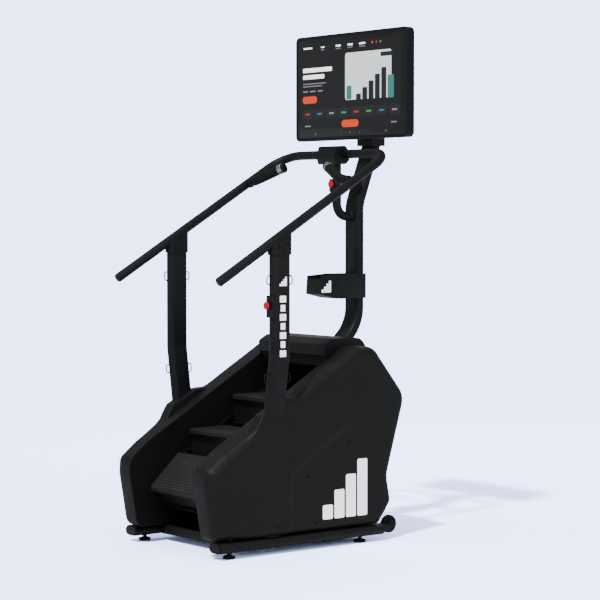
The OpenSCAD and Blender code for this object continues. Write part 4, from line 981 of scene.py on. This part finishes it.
dressNode("screen_bezel", "blackPlastic", 0.0025, 4)
dressNode("screen_rear_shell", "blackPlastic", 0.004, 4)
dressNode("screen_glass", "screenGlass", 0.0008)
dressNode("screen_tilt_plate", "powderBlack", 0.0012)
dressNode("screen_bracket", "powderBlack", 0.0015)


def makeDisplay():
    # Plain panels standing a hair proud of the glass: no words, only bars, pills and tiles
    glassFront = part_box("screen_glass")[0].y - rowShift
    area = {"left": -0.333, "right": 0.333, "top": screenMiddle + 0.194, "bottom": screenMiddle - 0.176}
    wide, tall = area["right"] - area["left"], area["top"] - area["bottom"]

    def panel(name, finish, shapes, layer):
        bm = bmesh.new()
        for u, v, w, h, r in shapes:
            shape = ovalSection(w * wide, h * tall, min(r, w * wide / 2, h * tall / 2) * 0.999, 6)
            slabInto(bm, shape, (area["left"] + u * wide, area["top"] - v * tall), glassFront - 0.0002 * layer,
                     glassFront - 0.0001)
        addPiece(name, bm, finish, "screen")

    panel("displayGround", "glowDark", [(0.5, 0.5, 1.0, 1.0, 0.004)], 1.5)
    bars = [(0.065, 0.045, 0.09, 0.018, 0.002), (0.22, 0.045, 0.035, 0.015, 0.002), (0.38, 0.045, 0.05, 0.020, 0.002),
            (0.50, 0.045, 0.05, 0.020, 0.002), (0.62, 0.045, 0.06, 0.020, 0.002), (0.165, 0.305, 0.30, 0.050, 0.003),
            (0.125, 0.385, 0.22, 0.050, 0.003)]
    panel("displayTitles", "glowWhite", bars, 3)
    small = [(0.135, 0.465, 0.24, 0.012, 0.001), (0.115, 0.495, 0.20, 0.012, 0.001),
             (0.040, 0.555, 0.05, 0.016, 0.001),
             (0.115, 0.555, 0.06, 0.016, 0.001), (0.195, 0.555, 0.05, 0.016, 0.001),
             (0.22, 0.075, 0.035, 0.010, 0.001),
             (0.38, 0.078, 0.05, 0.010, 0.001), (0.50, 0.078, 0.05, 0.010, 0.001), (0.62, 0.078, 0.06, 0.010, 0.001),
             (0.065, 0.965, 0.06, 0.016, 0.001), (0.93, 0.965, 0.05, 0.016, 0.001)]
    panel("displayNotes", "glowGrey", small, 3)
    panel("displayPills", "glowOrange", [(0.085, 0.655, 0.15, 0.085, 0.02), (0.50, 0.955, 0.17, 0.085, 0.02),
                                         (0.72, 0.045, 0.016, 0.028, 0.01)], 3)
    panel("displayCard", "glowCard", [(0.678, 0.4125, 0.455, 0.545, 0.012)], 3)
    panel("displayCardDark", "glowTile", [(0.865, 0.19, 0.13, 0.050, 0.006)], 4)
    panel("displayCardShade", "glowTeal", [(0.49, 0.60, 0.05, 0.16, 0.006), (0.90, 0.56, 0.06, 0.26, 0.008)], 4)
    rises = [(0.585 + 0.062 * k, 0.655 - 0.035 * k, 0.048, 0.07 * (k + 1), 0.003) for k in range(5)]
    panel("displayCardSteps", "glowTile", rises, 4.2)
    tiles = [(0.062 + 0.125 * k, 0.825, 0.112, 0.115, 0.005) for k in range(8)]
    panel("displayTiles", "glowTile", tiles, 3)
    for name, finish, spots in (("displayRedMarks", "glowRed", (0, 4)), ("displayBlueMarks", "glowBlue", (1, 6)),
                                ("displayGreenMarks", "glowGreen", (3, 5)), ("displayPaleMarks", "glowGrey", (2, 7))):
        panel(name, finish, [(0.062 + 0.125 * k, 0.825, 0.05, 0.022, 0.004) for k in spots], 4)
    panel("displayTopGreen", "glowGreen", [(0.80, 0.045, 0.016, 0.028, 0.01)], 3)
    panel("displayTopRed", "glowRed", [(0.76, 0.045, 0.016, 0.028, 0.01)], 3)
    bm = bmesh.new()
    keyZ = screenBottom + 0.030
    for k, x in enumerate((-0.235, -0.060, -0.030, 0.0, 0.030, 0.060, 0.235)):
        w, h = ((0.012, 0.012), (0.004, 0.010), (0.010, 0.002), (0.010, 0.010), (0.010, 0.002), (0.004, 0.010),
                (0.012, 0.012))[k]
        slabInto(bm, ovalSection(w, h, min(w, h) * 0.4, 4), (x, keyZ), glassFront - 0.0003, glassFront - 0.00005)
    addPiece("touchKeys", bm, "keyMark", "screen")


makeDisplay()
print("screen made")

# Steps
tread = {"half": 0.217, "depth": 0.205, "plate": 0.008, "lip": 0.020, "lipWall": 0.006, "corner": 0.016,
         "round": 0.0035}


def chainPlace(share):
    # Where a step stands that has gone this far round the chain, as a move of a step drawn about its pin
    run = 2 * pitch
    reach = chainRadius * outward
    if share < 0:
        turn, axis, offset = -share / chainRadius, lowerAxis, reach
    elif share < run:
        return Matrix.Translation((0, lowerAxis.x + reach.x + share * along.x,
                                   lowerAxis.y + reach.y + share * along.y))
    elif share < run + pitch:
        turn, axis, offset = -(share - run) / chainRadius, upperAxis, reach
    else:
        turn, axis, offset = -math.pi, upperAxis, reach + (share - run - pitch) * along
    return Matrix.Translation((0, axis.x, axis.y)) @ Matrix.Rotation(turn, 4,
                                                                     "X") @ Matrix.Translation((0, offset.x, offset.y))


def treadSection(x):
    # The tread's outline at one place across it: the nose corners are cut back towards the ends
    back = max(0.0, abs(x) - (tread["half"] - tread["corner"]))
    endDrop = 0.0015 * max(0.0, (abs(x) - (tread["half"] - 0.003)) / 0.003) ** 2
    nose, top = -stair["pinBack"], stair["pinDown"]
    points = [(nose, top - tread["lip"], 1), (nose, top, 1), (nose + tread["depth"], top, 0),
              (nose + tread["depth"], top - tread["plate"], 0),
              (nose + tread["lipWall"] + 0.004, top - tread["plate"], 1),
              (nose + tread["lipWall"], top - tread["plate"] - 0.004, 1),
              (nose + tread["lipWall"], top - tread["lip"], 1)]
    radii = (0.0022, 0.0065, 0.0015, 0.0015, 0.003, 0.003, 0.0022)
    made = []
    for i, (y, z, front) in enumerate(points):
        after = points[(i + 1) % len(points)]
        for p in easeRound(Vector(points[i - 1][:2]), Vector((y, z)), Vector(after[:2]), radii[i], 5):
            made.append((p.x + front * back, p.y - (endDrop if p.y > top - 0.004 else 0.0)))
    return made


def makeTread(number):
    bm = bmesh.new()
    half = tread["half"]
    places = [half, half - 0.0006, half - 0.0016, half - 0.003, half - 0.006, half - 0.010, half - tread["corner"],
              half - 0.020, 0.15,
              0.10, 0.05]
    places = [-x for x in places] + [0.0] + places[::-1]
    rings = []
    for x in places:
        ends = max(0.0, abs(x) - (half - 0.0016)) * 0.6
        rings.append([bm.verts.new((x, y + (ends if y < -0.10 else 0), z)) for y, z in treadSection(x)])
    joinRings(bm, rings)
    # under the plate: end cheeks, hanger stubs and the cross tube
    cheekX, cheekWall, chainX = 0.211, 0.003, 0.218
    underside = stair["pinDown"] - tread["plate"]
    cheek = [(-0.014, -0.012), (0.014, -0.012), (0.060, underside), (-0.060, underside)]
    for side in (1, -1):
        blockInto(bm, [(side * cheekX, y, z) for y, z in cheek],
                  [(side * (cheekX + cheekWall), y, z) for y, z in cheek])
        turnInto(bm, softProfile([(0, 0.006), (0, 0.007), (chainX - 0.001 - cheekX, 0.007),
                                  (chainX - 0.001 - cheekX, 0.006)], 0.0005),
                 (side * cheekX, 0, 0), (side, 0, 0), 24)
    turnInto(bm, [(-cheekX, 0.008), (cheekX, 0.008)], (0, 0, 0), (1, 0, 0), 28)
    uv = bm.loops.layers.uv.new("gripLayout")
    bm.normal_update()
    for face in bm.faces:
        onTop = all(v.co.z > stair["pinDown"] - 0.003 for v in face.verts)
        for loop in face.loops:
            loop[uv].uv = (loop.vert.co.x + 1, loop.vert.co.y + 1) if onTop else (0, 0)
    bmesh.ops.transform(bm, matrix=chainPlace((stair["rest"] - 2 + number) * pitch), verts=bm.verts)
    addPiece(f"step{number}Tread", bm, "stepPlastic", f"step_{number}", (f"step_{number}_tread",), 30)


def makeRiser(number):
    # A thin plate below the nose with a turned foot and a plain raised field of short bars
    bm = bmesh.new()
    half = 0.215
    nose, top = -stair["pinBack"], stair["pinDown"]
    front, back = nose + 0.022, nose + 0.026
    foot = top + 0.008 - stair["rise"]
    outlineYz = [(front, top - 0.008), (front, foot + 0.004), (nose + 0.008, foot + 0.004), (nose + 0.008, foot),
                 (back, foot),
                 (back, top - 0.008)]
    blockInto(bm, [(-half, y, z) for y, z in outlineYz], [(half, y, z) for y, z in outlineYz])
    softenEdges(bm, 0.0009, 2)
    for row in range(3):
        for column in range(7 - row):
            x = -0.066 + 0.022 * column + 0.011 * row
            z = foot + 0.038 + 0.012 * row
            shape = ovalSection(0.015, 0.004, 0.0019, 4)
            base = [bm.verts.new((x + u, front, z + v)) for u, v in shape]
            lift = [bm.verts.new((x + u * 0.92, front - 0.0006, z + v * 0.8)) for u, v in shape]
            joinRings(bm, [base, lift], False)
            bm.faces.new(lift)
    bmesh.ops.transform(bm, matrix=chainPlace((stair["rest"] - 2 + number) * pitch), verts=bm.verts)
    addPiece(f"step{number}Riser", bm, "blackPlastic", f"step_{number}", (f"step_{number}_riser",),
             30)


for number in range(1, 7):
    makeTread(number)
    makeRiser(number)
print("steps made")

# Base, feet, wheels and screws
dressNode("base_frame", "powderBlack", 0.0012, 2)
dressNode("rail_end_caps", "blackPlastic", 0.0035, 4)


def makeFeet():
    bm = bmesh.new()
    for low, high in solidBoxes("levelling_feet"):
        centre = ((low.x + high.x) / 2, (low.y + high.y) / 2 - rowShift, 0)
        r = (high.x - low.x) / 2
        profile = [(0, r * 0.6), (0, r * 0.94), (0.002, r), (0.0105, r), (0.0125, r * 0.93), (0.0130, r * 0.70),
                   (0.0170, 0.0110),
                   (0.0172, 0.006), (high.z, 0.006), (high.z, 0.001)]
        turnInto(bm, softProfile(profile, 0.0012), centre, (0, 0, 1), 44)
    addPiece("levellingFeet", bm, "footRubber", "frame", ("levelling_feet",))


def makeWheels():
    for nodeName in ("left_transport_wheel", "right_transport_wheel"):
        low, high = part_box(nodeName)
        centre = Vector(((low.x + high.x) / 2, (low.y + high.y) / 2 - rowShift, (low.z + high.z) / 2))
        half, r = (high.x - low.x) / 2, (high.z - low.z) / 2
        side = [(half - 0.004, 0.0052), (half - 0.001, 0.0090), (half - 0.0005, 0.0135), (half - 0.0045, 0.0160),
                (half - 0.0045, 0.0235),
                (half - 0.0005, 0.0260), (half - 0.0003, r - 0.007), (half - 0.004, r - 0.0012)]
        profile = [(-a, b) for a, b in side] + [(-half * 0.45, r), (half * 0.45, r)] + side[::-1]
        bm = bmesh.new()
        turnInto(bm, softProfile(profile, 0.0015), centre, (1, 0, 0), 56)
        addPiece(camelName(nodeName), bm, "footRubber", nodeName, (nodeName,))


def makeScrews():
    # Button heads with a round socket recess, one on each packed screw
    bm = bmesh.new()
    for low, high in solidBoxes("small_screws"):
        out = 1 if low.x > 0 else -1
        base = (low.x if out > 0 else high.x, (low.y + high.y) / 2 - rowShift, (low.z + high.z) / 2)
        r, tall = (high.z - low.z) / 2, high.x - low.x
        turnInto(bm, softProfile([(-0.001, r * 0.9), (0, r), (tall * 0.45, r), (tall, r * 0.66), (tall, r * 0.42),
                                  (tall * 0.35, r * 0.40),
                                  (tall * 0.35, 0.0003)], 0.0004), base, (out, 0, 0), 24)
    addPiece("coverScrews", bm, "blackHardware", "frame", ("small_screws",))


makeFeet()
makeWheels()
makeScrews()

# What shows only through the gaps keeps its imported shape, with a worked finish
inside = {"inner_skirts": "innerSkirt", "side_plates": "powderBlack", "drive_motor": "blackHardware",
          "motor_pulley": "driveSteel", "drive_belt": "gripRubber",
          "large_pulley": "driveSteel", "upper_shaft": "driveSteel", "lower_shaft": "driveSteel",
          "shaft_bearings": "driveSteel",
          "step_chains": "blackHardware", "controller_box": "blackPlastic", "power_inlet": "blackPlastic"}
for nodeName, finish in inside.items():
    node = nodes[nodeName]
    node.data.materials.clear()
    node.data.materials.append(materials[finish])
print("carried parts finished:", [n for n, o in nodes.items() if not o.hide_render])
